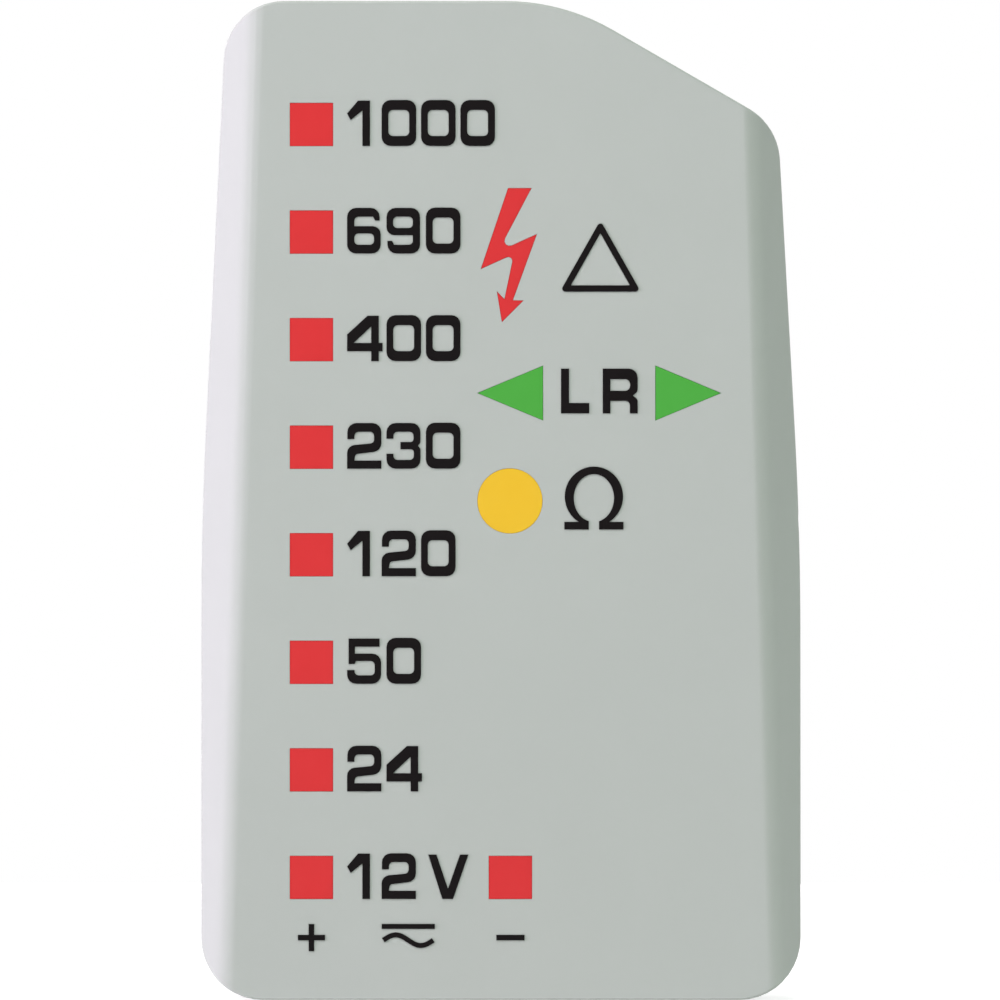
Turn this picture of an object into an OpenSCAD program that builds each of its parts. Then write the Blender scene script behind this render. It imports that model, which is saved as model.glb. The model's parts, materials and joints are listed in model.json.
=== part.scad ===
// Two-pole voltage tester: the display head with its lights, board, batteries,
// load button and battery door. It stands on its bottom end, its face towards -Y.

/* [Housing] */
// Width across the straight lower sides
body_w = 64; // [62:0.5:70]
// Height from the bottom end to the flat top end
body_h = 106.5; // [105:0.5:114]
// Depth from the front face to the back face
body_d = 30; // [29.5:0.5:34]
// Wall thickness of both covers
wall = 2.2; // [2:0.1:2.5]
// Height where the left side starts to lean inwards
left_bend_z = 51; // [44:1:60]
// Height where the right side starts to lean inwards
right_bend_z = 50; // [44:1:60]
// How far the top of the left side leans inwards
left_lean = 2.7; // [1.5:0.1:3.2]
// How far the shoulder on the right leans inwards
right_lean = 2.4; // [1.5:0.1:3.2]
// Distance from the middle to where the sloping edge leaves the top
slope_x = 6.6; // [4:0.2:9]
// Drop from the top to the right shoulder
shoulder_drop = 13.3; // [9:0.1:14]
// Radius of the two bottom corners
bottom_r = 6.6; // [5.6:0.2:8]
// Radius of the top left corner
top_r = 6.4; // [5.6:0.2:8]
// Radius of the right shoulder
shoulder_r = 6.5; // [5:0.5:8]
// Radius where the slope meets the top
slope_r = 23; // [10:1:30]
// Radius of the soft bends in the two sides
bend_r = 390; // [200:10:450]

/* [Front bevels] */
// Bevel width beside the face at the bottom end
bevel_low = 2.05; // [1.7:0.05:2.5]
// Bevel width beside the face at the top end
bevel_high = 5.3; // [4.6:0.05:5.9]
// Angle between the face and the bevel
bevel_tilt = 60; // [56:1:64]
// Radius where the face rolls into the bevel
bevel_r = 2.5; // [2.3:0.1:2.8]

/* [Rear bevels] */
// Width of the rear bevel at the bottom end
rear_bevel_low = 4.4; // [3.8:0.1:4.8]
// Width of the rear bevel at the top end
rear_bevel_high = 6.6; // [5.6:0.1:7]
// Angle between the back and the rear bevel
rear_bevel_tilt = 48; // [45:1:52]
// Radius where the back rolls into the bevel
rear_bevel_r = 5; // [4:0.2:6]

/* [Joint between the covers] */
// Width of the sealing cord
seal_w = 1.1; // [0.9:0.1:1.2]
// Depth of the sealing cord in its groove
seal_t = 0.9; // [0.6:0.1:1.2]
// Depth of the shadow line along the joint
shadow_d = 0.25; // [0.15:0.05:0.4]
// Height of the shadow line along the joint
shadow_h = 0.4; // [0.3:0.05:0.6]

/* [Housing screws] */
// Radius of the screw bosses
boss_r = 3.2; // [3:0.1:3.3]
// Radius of the screw shanks
screw_r = 1.45; // [1.3:0.05:1.5]
// Depth of the screw thread in the front boss
screw_bite = 8; // [6:0.5:10]
// Radius of the screw heads
screw_head_r = 2.75; // [2.6:0.05:2.8]
// Height of the screw heads
screw_head_h = 2; // [1.6:0.1:2.4]
// Depth of a screw head below the back face
screw_sink = 5; // [4:0.5:6]
// Width of the slots in the screw heads
screw_slot_w = 0.8; // [0.6:0.1:1]
// Depth of the slots in the screw heads
screw_slot_d = 1; // [0.8:0.1:1.2]
// Distance of the corner bosses from the two bottom corners
boss_in = 6.5; // [6.3:0.1:6.8]
// Distance of the top left boss from the left side
boss_left_x = 10; // [9.4:0.1:10.4]
// Distance of the top left boss below the top
boss_left_drop = 6.2; // [6:0.1:6.4]
// Distance of the shoulder boss from the right side
boss_right_x = 10.5; // [10:0.5:11.5]
// Distance of the shoulder boss below the top
boss_right_drop = 20.5; // [19.5:0.5:22]

/* [Voltage scale] */
// Side of the square windows
window_side = 4.58; // [4.2:0.02:4.8]
// Distance of the window column from the left side
window_x = 11.8; // [11.4:0.1:12]
// Height of the lowest window
row_first_z = 13.06; // [12.8:0.02:13.4]
// Step from row to row
row_pitch = 11.467; // [11.2:0.01:11.5]
// Number of rows
rows = 8; // [8:1:8]
// Distance of the polarity window from the left side
polarity_x = 33.01; // [32:0.1:35]
// Distance of the numerals' left edge from the left side
digits_x = 15.6; // [15:0.1:16]
// Rise of the numerals above the window centres
digits_rise = 0.16; // [0:0.02:0.3]
// Step from digit to digit
digit_step = 4.2; // [4:0.05:4.4]
// Step from a narrow one to the next digit
one_step = 3.68; // [3.4:0.02:3.9]
// Step from the last digit to the volt letter
volt_step = 4.98; // [4.8:0.02:5.4]
// Thickness of the printed ink
ink_t = 0.08; // [0.05:0.01:0.15]
// Size of one unit of the lettering grid
px = 0.1066; // [0.1:0.0002:0.108]

/* [Signs] */
// Height of the polarity signs
sign_z = 6.65; // [6.4:0.05:6.9]
// Distance of the mixed current sign from the left side
mixed_x = 22.12; // [21:0.1:23]
// Distance of the phase sign's lower tip from the right side
bolt_x = 31.88; // [31:0.02:33]
// Height of the phase sign's lower tip above the arrows' middle
bolt_z = 7.6; // [6.9:0.1:8.3]
// Distance of the triangle from the right side
triangle_x = 21.4; // [20:0.1:22.5]
// Height of the triangle's base line above the arrows' middle
triangle_z = 10.8; // [9.3:0.1:12.3]
// Height of the rotation arrows' middle
arrow_z = 64.7; // [64.3:0.1:65.2]
// Length of a rotation arrow
arrow_l = 6.95; // [6:0.05:7]
// Width of a rotation arrow
arrow_w = 5.8; // [5:0.1:6]
// Distance of the left arrow's base from the right side
arrow_left_x = 27.52; // [27:0.02:28]
// Distance of the right arrow's base from the right side
arrow_right_x = 15.52; // [15.4:0.02:16.2]
// Distance of the left-hand letter from the right side
left_letter_x = 25.6; // [25:0.1:26.2]
// Distance of the right-hand letter from the right side
right_letter_x = 21.15; // [20.5:0.05:22]
// Rise of the two letters' middle above the arrows' middle
letter_rise = 0.22; // [0:0.02:0.4]
// Distance of the continuity lamp from the right side
lamp_x = 31.04; // [30:0.02:32]
// Drop of the continuity lamp below the arrows' middle
lamp_z = 11.5; // [10.7:0.1:12.7]
// Radius of the continuity lamp
lamp_r = 3.46; // [3:0.02:3.6]
// Distance of the resistance sign from the right side
ohm_x = 22.09; // [21:0.05:23]
// Drop of the resistance sign's foot below the arrows' middle
ohm_z = 14.55; // [13.7:0.05:15.2]

/* [Light guides] */
// Gap round a light guide in its window
window_clear = 0.03; // [0.02:0.01:0.08]
// Thickness of a light guide's flange
guide_t = 1; // [0.8:0.1:1.2]
// Rim of a light guide's flange round its window
guide_rim = 0.8; // [0.6:0.05:0.85]
// Height of an indicator lamp on the board
led_h = 2.2; // [1.6:0.1:2.4]
// Side of an indicator lamp
led_side = 2.8; // [2.4:0.1:3]
// Space between an indicator lamp and its light guide
led_gap = 1; // [0.6:0.1:1.2]
// Gap between an indicator lamp and the shield around it
shield_clear = 0.4; // [0.2:0.1:0.5]
// Wall of the shield round an indicator lamp
shield_wall = 1.2; // [1:0.1:1.4]
// Width of the bars that join the shield's parts
shield_bar = 2; // [1.6:0.1:2.4]

/* [Main board] */
// Thickness of the board
board_t = 1.6; // [1.2:0.1:1.8]
// Gap between the board's edge and the wall
board_clear = 1; // [0.8:0.1:1.2]
// Gap round the bosses that pass the board
board_notch = 0.4; // [0.3:0.1:0.6]
// Radius of the posts under the board
post_r = 2.2; // [2:0.1:2.4]
// Radius of the board screws
post_screw_r = 0.9; // [0.8:0.05:1]
// Depth of the board screws in their posts
post_bite = 3; // [2.5:0.1:3.4]
// Radius of the board screw heads
post_head_r = 1.9; // [1.7:0.1:2]
// Height of the board screw heads
post_head_h = 1.2; // [1:0.1:1.5]

/* [Parts on the board] */
// Side of the microcontroller
chip_side = 9; // [8:0.5:10]
// Height of the microcontroller
chip_h = 1.6; // [1.2:0.1:2]
// Height of the microcontroller's middle
chip_z = 40; // [36:1:46]
// Radius of the series resistors
resistor_r = 1.3; // [1.1:0.1:1.5]
// Length of a series resistor
resistor_l = 7; // [6:0.5:8]
// Step between the series resistors
resistor_pitch = 4; // [3.6:0.1:4.4]
// Number of series resistors
resistors = 5; // [4:1:5]
// Height of the lowest series resistor
resistor_z = 62; // [60:1:64]
// Distance of the series resistors outwards from the middle of the side room
resistor_x = 0.025; // [-1:0.025:1]
// Radius of the thermistors
ptc_r = 4; // [3.5:0.1:4.2]
// Height of the thermistors above the board
ptc_h = 4.5; // [4:0.1:5]
// Height of the left thermistor's middle
ptc_left_z = 50; // [48:1:52]
// Height of the right thermistor's middle
ptc_right_z = 66; // [64:1:67]
// Distance of the thermistors inwards from the middle of the side room
ptc_x = 0.975; // [0:0.025:2]
// Radius of the buzzer
buzzer_r = 6; // [5.5:0.1:6.2]
// Height of the buzzer above the board
buzzer_h = 5; // [4:0.1:6]
// Radius of the buzzer's sound hole
buzzer_hole_r = 1; // [0.8:0.1:1.4]
// Depth of the buzzer's sound hole
buzzer_hole_d = 1.5; // [1:0.1:2]
// Distance of the buzzer inwards from the middle of the side room
buzzer_x = 0.475; // [0:0.025:1]
// Height of the buzzer's middle
buzzer_z = 28; // [26:1:29]
// Width of the lead terminal
terminal_w = 8; // [7:0.5:9]
// Height of the lead terminal above the board
terminal_h = 4.5; // [4:0.1:5]
// Length of the lead terminal
terminal_l = 6; // [5:0.5:7]
// Height of the lead terminal's middle
terminal_z = 20; // [18:0.5:24]
// Radius of the terminal's screw hole
terminal_hole_r = 1.2; // [1:0.1:1.4]

/* [Vibration motor] */
// Radius of the motor can
motor_r = 4; // [3.5:0.1:4.2]
// Length of the motor can
motor_l = 14; // [12:0.5:15]
// Height of the motor can's lower end
motor_z = 42; // [41:0.5:43]
// Distance of the motor axis outwards from the middle of the side room
motor_x = 0.025; // [-0.6:0.025:0.4]
// Distance of the motor axis behind the joint between the covers
motor_y = 3; // [2.5:0.1:4]
// Radius of the motor shaft
shaft_r = 0.75; // [0.6:0.05:0.9]
// Running clearance round the motor shaft
shaft_clear = 0.05; // [0.03:0.01:0.08]
// Length of the shaft outside the can
shaft_out = 6; // [5.5:0.1:6.5]
// Depth of the shaft in the can
shaft_in = 6; // [4:0.5:8]
// Radius of the eccentric weight
weight_r = 4.2; // [3.8:0.1:4.4]
// Thickness of the eccentric weight
weight_t = 4; // [3.5:0.1:4.5]
// Gap between the eccentric weight and the can
weight_gap = 1; // [0.8:0.1:1.2]
// Wall of the motor's bracket
bracket_wall = 1.4; // [1:0.1:1.6]
// Length of the motor's bracket
bracket_l = 9; // [8:0.5:10]

/* [Battery bay] */
// Diameter of a cell
cell_d = 10.5; // [10.2:0.1:10.6]
// Length of a cell with its nub
cell_l = 44.5; // [44:0.1:45]
// Radius of a cell's nub
nub_r = 1.9; // [1.6:0.1:2.1]
// Length of a cell's nub
nub_l = 1; // [0.8:0.1:1.2]
// Gap between a cell and its surroundings
cell_clear = 0.3; // [0.2:0.05:0.4]
// Gap between the cells and the door
cell_gap = 0.6; // [0.4:0.1:0.8]
// Thickness of the bay's own walls
bay_wall = 1.2; // [1:0.1:1.3]
// Thickness of the contact plates
plate_t = 0.4; // [0.3:0.05:0.5]
// Width of a contact plate
plate_w = 7; // [6.5:0.1:8]
// Length of a battery spring
spring_l = 3.7; // [3.5:0.1:4.2]
// Radius of a battery spring's coil
spring_r = 2.6; // [2.3:0.1:2.8]
// Radius of the spring wire
wire_r = 0.25; // [0.2:0.01:0.27]
// Number of turns in a battery spring
spring_turns = 3; // [3:1:3]
// Radius of the contacts' solder legs
leg_r = 0.5; // [0.4:0.05:0.6]

/* [Battery door] */
// Thickness of the door
door_t = 2.2; // [2:0.1:2.4]
// Gap round the door
door_gap = 0.3; // [0.25:0.05:0.4]
// Height of the hinge axis above the bottom end
hinge_z = 11.2; // [11:0.1:11.6]
// Radius of the hinge barrel
barrel_r = 1.6; // [1.5:0.05:1.65]
// Radius of the hinge pins
pin_r = 0.9; // [0.8:0.05:0.95]
// Running clearance round the hinge pins
pin_clear = 0.08; // [0.05:0.01:0.1]
// Length of a hinge pin
pin_l = 2; // [1.6:0.1:2.4]
// Width of the rim that carries the gasket
ledge_w = 1.8; // [1.7:0.1:2]
// Width of the door gasket
gasket_w = 0.9; // [0.8:0.1:1]
// Depth of the door gasket in its groove
gasket_t = 0.8; // [0.6:0.1:1]
// Distance from the bay to the door screw
door_screw_in = 5; // [4.9:0.1:5.4]
// Radius of the door screw's shank
door_screw_r = 1.5; // [1.3:0.05:1.6]
// Radius of the door screw's head
door_head_r = 3; // [2.8:0.1:3.1]
// Height of the door screw's head
door_head_h = 1.2; // [1:0.05:1.3]
// Width of the coin slot
coin_w = 1; // [0.8:0.1:1.2]
// Depth of the coin slot
coin_d = 0.7; // [0.5:0.05:0.8]
// Depth of the door screw in its insert
door_bite = 3; // [2.6:0.1:3.2]
// Clearance round the door screw in its insert
door_bite_clear = 0.3; // [0.25:0.05:0.35]
// Outer radius of the brass insert
insert_r = 2.6; // [2.4:0.1:2.8]
// Length of the brass insert
insert_l = 4.5; // [4:0.1:5]
// Outer radius of the ring that keeps the door screw in the door
keeper_r = 2.3; // [2.1:0.05:2.4]
// Thickness of the ring that keeps the door screw in the door
keeper_t = 0.5; // [0.4:0.05:0.6]
// Depth of the pull notch at the door's top edge
pull_d = 0.8; // [0.6:0.1:1]
// Width of the pull notch
pull_w = 10; // [8:0.5:12]

/* [Load button] */
// Drop of the button below the top
button_z = 21.5; // [21:0.1:22]
// Radius of the button
button_r = 6; // [5.5:0.1:6.2]
// Running clearance round the button
button_clear = 0.25; // [0.15:0.05:0.3]
// Travel of the button
button_travel = 1.3; // [1:0.1:1.5]
// Depth of the button's top below the back face
button_sink = 0.4; // [0.3:0.05:0.6]
// Radius of the finger dish
dish_r = 9.5; // [9:0.1:9.8]
// Depth of the finger dish
dish_d = 1.6; // [1.4:0.1:1.8]
// Rim that keeps the button in
button_rim = 1.1; // [0.9:0.1:1.3]
// Thickness of that rim
button_rim_t = 1.1; // [0.9:0.1:1.3]
// Radius of the button's stem
stem_r = 2.1; // [1.9:0.1:2.2]
// Height of the switch above the board
switch_h = 7; // [6.5:0.1:7.4]
// Side of the switch
switch_side = 8; // [7.6:0.1:8.4]
// Radius of the switch plunger
plunger_r = 1.6; // [1.4:0.1:1.7]
// Running clearance round the switch plunger
plunger_clear = 0.2; // [0.15:0.05:0.25]
// Height of the switch plunger above the switch
plunger_out = 1.8; // [1.7:0.1:2.2]
// Depth of the switch plunger in the switch
plunger_in = 2.4; // [2:0.1:2.6]
// Radius of the button spring's coil
coil_r = 3.2; // [3:0.05:3.3]
// Number of turns in the button spring
coil_turns = 5; // [4:1:6]
// Radius of the button spring's wire
coil_wire_r = 0.3; // [0.25:0.01:0.32]
// Thickness of the rubber disc behind the button
membrane_t = 0.6; // [0.4:0.1:0.7]

/* [Test tip socket] */
// Distance of the socket from the left side
socket_x = 19.6; // [19.2:0.1:20]
// Radius of the socket's bore
socket_r = 2; // [1.9:0.05:2.1]
// Wall of the brass sleeve
sleeve_wall = 1; // [0.8:0.1:1.1]
// Depth of the socket's bore
socket_l = 19; // [17:0.5:19.5]
// Closed end of the brass sleeve
sleeve_end = 1.2; // [1:0.1:1.4]
// Depth of the brass sleeve below the bush's end
sleeve_sink = 0.4; // [0.3:0.1:0.6]
// Radius of the bush in the wall
bush_r = 5; // [4.8:0.1:5.2]
// Radius of the bush inside the housing
bush_body_r = 4.4; // [4.2:0.1:4.5]
// Radius of the bush's collar
collar_r = 5.8; // [5.6:0.1:6]
// Thickness of the bush's collar
collar_t = 2; // [1.5:0.1:2.4]
// Radius of the wire to the board
lead_r = 0.8; // [0.6:0.1:0.9]
// Length of the wire before its bend
lead_drop = 6; // [5:0.5:7]

/* [Lead inlet] */
// Radius of the inlet's bore
inlet_r = 3.25; // [3:0.05:3.4]
// Radius of the grommet in the wall
grommet_r = 5; // [4.8:0.1:5.2]
// Radius of the grommet's inner flange
grommet_flange_r = 6.2; // [6:0.1:6.4]
// Thickness of the grommet's inner flange
grommet_flange_t = 2; // [1.6:0.1:2.2]
// Radius of the grommet's sleeve
grommet_sleeve_r = 4.6; // [4.4:0.05:4.7]
// Length of the grommet
grommet_l = 12; // [11:0.5:12.5]

/* [Saddles] */
// Thickness of the saddles' ribs behind the collar and the flange
cradle_t = 2; // [1.6:0.1:2.4]
// Width of the saddles round what they hold
cradle_rim = 1.6; // [1.4:0.1:1.8]
// Gap between a saddle and what it holds
cradle_clear = 0.1; // [0.05:0.01:0.2]

/* [Hidden] */

$fn = 64;
// Overrun of every cut past the face that it opens
over = 1;
// Segments in a corner of an outline, and in a soft bend of it
corner_n = 10;
glyph_n = 4;
oval_n = 48;

// Planes from the face to the back
front_y = -body_d / 2;
back_y = body_d / 2;
face_in_y = front_y + wall;
guide_in_y = face_in_y + guide_t;
board_front_y = guide_in_y + led_h + led_gap;
board_back_y = board_front_y + board_t;
back_in_y = back_y - wall;

// Housing outline as seen from the front: place and radius of each corner
side_x = body_w / 2;
outline_pts = [
    [side_x, 0, bottom_r],
    [side_x, right_bend_z, bend_r],
    [side_x - right_lean, body_h - shoulder_drop, shoulder_r],
    [slope_x, body_h, slope_r],
    [left_lean - side_x, body_h, top_r],
    [-side_x, left_bend_z, bend_r],
    [-side_x, 0, bottom_r]];

// Places of the four screw bosses, across and up
boss_places = [
    [boss_in - side_x, boss_in],
    [side_x - boss_in, boss_in],
    [boss_left_x - side_x, body_h - boss_left_drop],
    [side_x - boss_right_x, body_h - boss_right_drop]];

// Places of the four posts under the board, across and up
post_edge = 6;
post_top_x = 2;
post_top_drop = 7.5;
post_right_drop = 33;
post_left_z = 40;
post_low_edge = 10;
post_low_z = 18;
post_places = [
    [post_top_x, body_h - post_top_drop],
    [side_x - post_edge, body_h - post_right_drop],
    [post_edge - side_x, post_left_z],
    [side_x - post_low_edge, post_low_z]];

// Battery bay
cell_y = back_y - door_t - cell_gap - cell_d / 2;
cell_x = cell_d / 2 + cell_clear / 2;
bay_x = cell_d + cell_clear / 2 + cell_clear;
bay_in_y = cell_y - cell_d / 2 - cell_clear;
bay_out_y = bay_in_y - bay_wall;
pocket_y = back_y - door_t - door_gap;
ledge_t = gasket_t + bay_wall;
ledge_in_y = pocket_y - ledge_t;
hinge_y = back_y - barrel_r;
trough_r = barrel_r + door_gap;
bay_z = hinge_z + trough_r + ledge_w;
bay_l = plate_t + spring_l + cell_l + plate_t;
bay_top_z = bay_z + bay_l;
door_screw_z = bay_top_z + door_screw_in;
pocket_x = bay_x + ledge_w;
door_x = pocket_x - door_gap;
pocket_top_z = door_screw_z + door_head_r + ledge_w;
door_top_z = pocket_top_z - door_gap;
insert_y = pocket_y - door_gap;
insert_wall = 1;

// Middle of the room beside the bay, and what stands there
side_mid_x = (bay_x + bay_wall + side_x - wall) / 2;
resistor_at_x = side_mid_x + resistor_x;
ptc_at_x = side_mid_x - ptc_x;
buzzer_at_x = side_mid_x - buzzer_x;
motor_at_x = side_mid_x + motor_x;
button_at_z = body_h - button_z;
socket_at_x = side_x - socket_x;

// Places of the windows and the signs on the face
window_at_x = side_x - window_x;
digits_at_x = side_x - digits_x;
mixed_at_x = side_x - mixed_x;
polarity_at_x = polarity_x - side_x;
arrow_left_at_x = side_x - arrow_left_x;
arrow_right_at_x = side_x - arrow_right_x;
left_letter_at_x = side_x - left_letter_x;
right_letter_at_x = side_x - right_letter_x;
bolt_at_x = side_x - bolt_x;
bolt_at_z = arrow_z + bolt_z;
triangle_at_x = side_x - triangle_x;
triangle_at_z = arrow_z + triangle_z;
lamp_at_x = side_x - lamp_x;
lamp_at_z = arrow_z - lamp_z;
ohm_at_x = side_x - ohm_x;
ohm_at_z = arrow_z - ohm_z;

// Load button
dish_y = back_y - dish_d;
pad_in_y = dish_y - wall;
cap_y = back_y - button_sink;
rim_top_y = pad_in_y - door_gap;
rim_in_y = rim_top_y - button_rim_t;
switch_y = board_back_y + switch_h;
plunger_top_y = switch_y + plunger_out;
switch_hole_d = plunger_in + button_travel + plunger_clear;

// Test tip socket and its bush
sleeve_r = socket_r + sleeve_wall;
bush_z = body_h - socket_l - sleeve_sink - sleeve_end;
sleeve_top_z = body_h - sleeve_sink;
sleeve_z = sleeve_top_z - socket_l - sleeve_end;

// Lettering outlines on a unit grid: place and corner radius of each point, counter-clockwise
zero_px = [[0, 0, 9], [34.6, 0, 9], [34.6, 46, 9], [0, 46, 9]];
zero_hole_px = [[6.8, 10, 4.5], [27.6, 10, 4.5], [27.6, 36, 4.5], [6.8, 36, 4.5]];
one_px = [[15.3, 0, 0], [22.9, 0, 0], [22.9, 45.4, 0], [10.9, 45.4, 0],
    [0, 32.5, 0], [3.6, 26, 0], [15.3, 35.5, 0]];
two_px = [[0, 0, 0], [34.3, 0, 0], [34.3, 8.2, 0], [7.3, 8.2, 0], [8.3, 14.6, 3],
    [34.3, 17.6, 9], [34.3, 45.7, 9], [0.3, 45.7, 9], [0.3, 29.6, 0],
    [7.3, 29.6, 0], [7.3, 36.9, 4], [27, 36.9, 4], [27, 25.6, 4], [0, 23, 8]];
three_px = [[0, 0, 9], [34, 0, 9], [34, 20, 4], [31.5, 23, 0], [34, 26, 4],
    [34, 45.7, 9], [0, 45.7, 9], [0, 30, 0], [7, 30, 0], [7, 36.9, 4],
    [27, 36.9, 4], [27, 26.7, 3], [13.9, 26.7, 0], [13.9, 19.4, 0],
    [27.3, 19.4, 3], [27.3, 8.8, 4], [7, 8.8, 4], [7, 15, 0], [0, 15, 0]];
four_px = [[24.1, 0, 0], [31.7, 0, 0], [31.7, 9.9, 0], [35.5, 9.9, 0],
    [35.5, 18.2, 0], [31.7, 18.2, 0], [31.7, 45.4, 0], [20.4, 45.4, 0],
    [0, 26.7, 0], [0, 9.9, 0], [24.1, 9.9, 0]];
four_hole_px = [[24.1, 18.2, 0], [24.1, 34.7, 0], [6.6, 18.2, 0]];
five_px = [[0, 0, 9], [34, 0, 9], [34, 30.3, 9], [7.8, 30.3, 0], [7.8, 37.1, 0],
    [32.5, 37.1, 0], [32.5, 45.3, 0], [1.5, 45.3, 0], [1.5, 19.8, 0],
    [7.5, 19.8, 0], [9, 22.8, 0], [27.6, 22.8, 4], [27.6, 8.5, 4],
    [7.5, 8.5, 4], [7.5, 13.8, 0], [0, 13.8, 0]];
six_px = [[0, 0, 9], [33.6, 0, 9], [33.6, 27.4, 8], [7.3, 27.4, 0], [7.3, 36.9, 4],
    [26, 36.9, 0], [28, 33, 0], [32.6, 33, 0], [32.6, 45.7, 9], [0, 45.7, 9]];
six_hole_px = [[7.3, 8.8, 4], [26.9, 8.8, 4], [26.9, 20.1, 4], [7.3, 20.1, 4]];
six_turn_px = [33.6, 45.7];
volt_px = [[14, 0, 0], [24.7, 0, 0], [40, 44.4, 0], [31.6, 44.4, 0],
    [19.7, 10.3, 0], [8.1, 44.4, 0], [0, 44.4, 0]];
left_px = [[0, 0, 0], [28.3, 0, 0], [28.3, 10.4, 0], [8.1, 10.4, 0], [8.1, 44.8, 0],
    [0, 44.8, 0]];
right_px = [[0, 0, 0], [7.7, 0, 0], [7.7, 12.5, 0], [27.2, 12.5, 4.5], [27.2, 0, 0],
    [35, 0, 0], [35, 14.2, 5], [30, 17.8, 0], [35, 22, 5], [35, 44.8, 9], [0, 44.8, 0]];
right_hole_px = [[7.7, 22.6, 0], [27.4, 22.6, 5], [27.4, 34.2, 5], [7.7, 34.2, 0]];
bolt_px = [[0, 0, 0], [21, 21.1, 0], [10.6, 21.4, 0], [34.6, 87.4, 0],
    [-4.3, 69.8, 5.3], [29.2, 133.5, 0], [6.1, 133.5, 0], [-21, 53, 0],
    [12.1, 68, 4.2], [2.5, 22.3, 0], [-4.9, 29.9, 0]];
triangle_px = [[-40.5, 0, 3.2], [40.5, 0, 3.2], [0, 71.5, 3.2]];
triangle_line_px = 6.4;
plus_px = 27.1;
plus_line_px = 5.5;
minus_px = 28.2;
bar_px = 53.2;
bar_line_px = 5;
bar_rise_px = 11.2;
wave_px = 50;
wave_high_px = 5.4;
wave_line_px = 5;
wave_drop_px = 2.6;
wave_n = 16;
// Resistance sign: half width, half height and middle of its two ovals, and the gap and size of its feet
ohm_outer_px = [29.2, 29.9, 33.1];
ohm_inner_px = [20.1, 23.9, 31.5];
ohm_gap_px = 10.2;
ohm_feet_px = [59.2, 7.7];

function unit(a) = a / norm(a);
function flat(p) = [p.x, p.y];
function turn_part(a) = (a + 540) % 360 - 180;

// Corner p between neighbours a and b as an arc of radius r in n steps
function corner(a, p, b, r, n) = r <= 0 ? [p] :
    let (
        u = unit(a - p),
        v = unit(b - p),
        half = acos(max(-1, min(1, u * v))) / 2,
        mid = p + unit(u + v) * (r / sin(half)),
        from = p + u * (r / tan(half)) - mid,
        to = p + v * (r / tan(half)) - mid,
        start = atan2(from.y, from.x),
        sweep = turn_part(atan2(to.y, to.x) - start))
    [for (i = [0 : n]) mid + r * [cos(start + sweep * i / n), sin(start + sweep * i / n)]];

// Outline from [x, y, radius] points
function rounded(pts, n) = [for (i = [0 : len(pts) - 1])
    each corner(flat(pts[(i + len(pts) - 1) % len(pts)]), flat(pts[i]),
        flat(pts[(i + 1) % len(pts)]), pts[i].z, n)];

// The same points moved inwards by d from every edge; outer corners lose d of radius
function left_normal(a, b) = let (u = unit(flat(b) - flat(a))) [-u.y, u.x];
function turn_side(a, b) = a.x * b.y - a.y * b.x;
function moved(pts, d) = [for (i = [0 : len(pts) - 1])
    let (
        a = pts[(i + len(pts) - 1) % len(pts)],
        p = pts[i],
        b = pts[(i + 1) % len(pts)],
        m = left_normal(a, p),
        k = left_normal(p, b),
        q = flat(p) + d * (m + k) / (1 + m * k))
    [q.x, q.y, p.z <= 0 ? 0 : max(p.z - sign(turn_side(m, k)) * d, p.z / 10)]];
function grid(pts) = [for (p = pts) p * px];

// Height of the middle of row i above the bottom end
function row_z(i) = row_first_z + i * row_pitch;

// Ring centres along a coil about Z, and a tube swept through points
function coil_pts(r, l, turns, n) = [for (i = [0 : turns * n])
    [r * cos(i * 360 / n), r * sin(i * 360 / n), l * i / (turns * n)]];
function tangent(pts, i) = unit(pts[min(i + 1, len(pts) - 1)] - pts[max(i - 1, 0)]);
coil_rings = 8;
tube_sides = 6;
module tube(pts, r) {
    rings = [for (i = [0 : len(pts) - 1])
        let (
            t = tangent(pts, i),
            a = unit(cross(t, [0, 0, 1])),
            b = cross(a, t))
        [for (k = [0 : tube_sides - 1])
            pts[i] + r * (a * cos(k * 360 / tube_sides) + b * sin(k * 360 / tube_sides))]];
    m = tube_sides;
    last = (len(pts) - 1) * m;
    sides = [for (i = [0 : len(pts) - 2]) for (k = [0 : m - 1])
        each [[i * m + k, i * m + (k + 1) % m, (i + 1) * m + k],
            [i * m + (k + 1) % m, (i + 1) * m + (k + 1) % m, (i + 1) * m + k]]];
    caps = concat([for (k = [1 : m - 2]) [0, k + 1, k]],
        [for (k = [1 : m - 2]) [last, last + k, last + k + 1]]);
    polyhedron([for (ring = rings) each ring], concat(sides, caps));
}

// Least distance between the surfaces of neighbouring turns, measured on the ring centres
function self_gap(pts, n, r) = min([for (i = [0 : len(pts) - 1 - n])
    for (j = [i + n - 1 : min(i + n + 1, len(pts) - 1)]) norm(pts[j] - pts[i])]) - 2 * r;

// Slab of a drawing in the XZ plane from y0 to y1
module slab(y0, y1) {
    translate([0, y1, 0])
        rotate([90, 0, 0])
            linear_extrude(y1 - y0)
                children();
}

// Round bar along Y
module rod_y(r, at, y0, y1) {
    translate([at[0], y1, at[1]])
        rotate([90, 0, 0])
            cylinder(r = r, h = y1 - y0);
}

// Block between two corners
module block(a, b) {
    translate(a)
        cube(b - a);
}

module outline(inset) {
    polygon(rounded(moved(outline_pts, inset), corner_n));
}

// Section of what a bevel takes away; the corner of face and bevel is moved in by inset
function bevel_section(tilt, r, inset) =
    let (
        c = [-inset * tan(tilt / 2), inset],
        along = [cos(tilt), sin(tilt)],
        far = c + along * body_d,
        near = c - [body_d, 0],
        arc = corner(near, c, far, max(r - inset, r / 10), corner_n))
    concat(arc, [far, far + [body_d, 0], [far.x + body_d, c.y - over], [arc[0].x, c.y - over]]);

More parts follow.
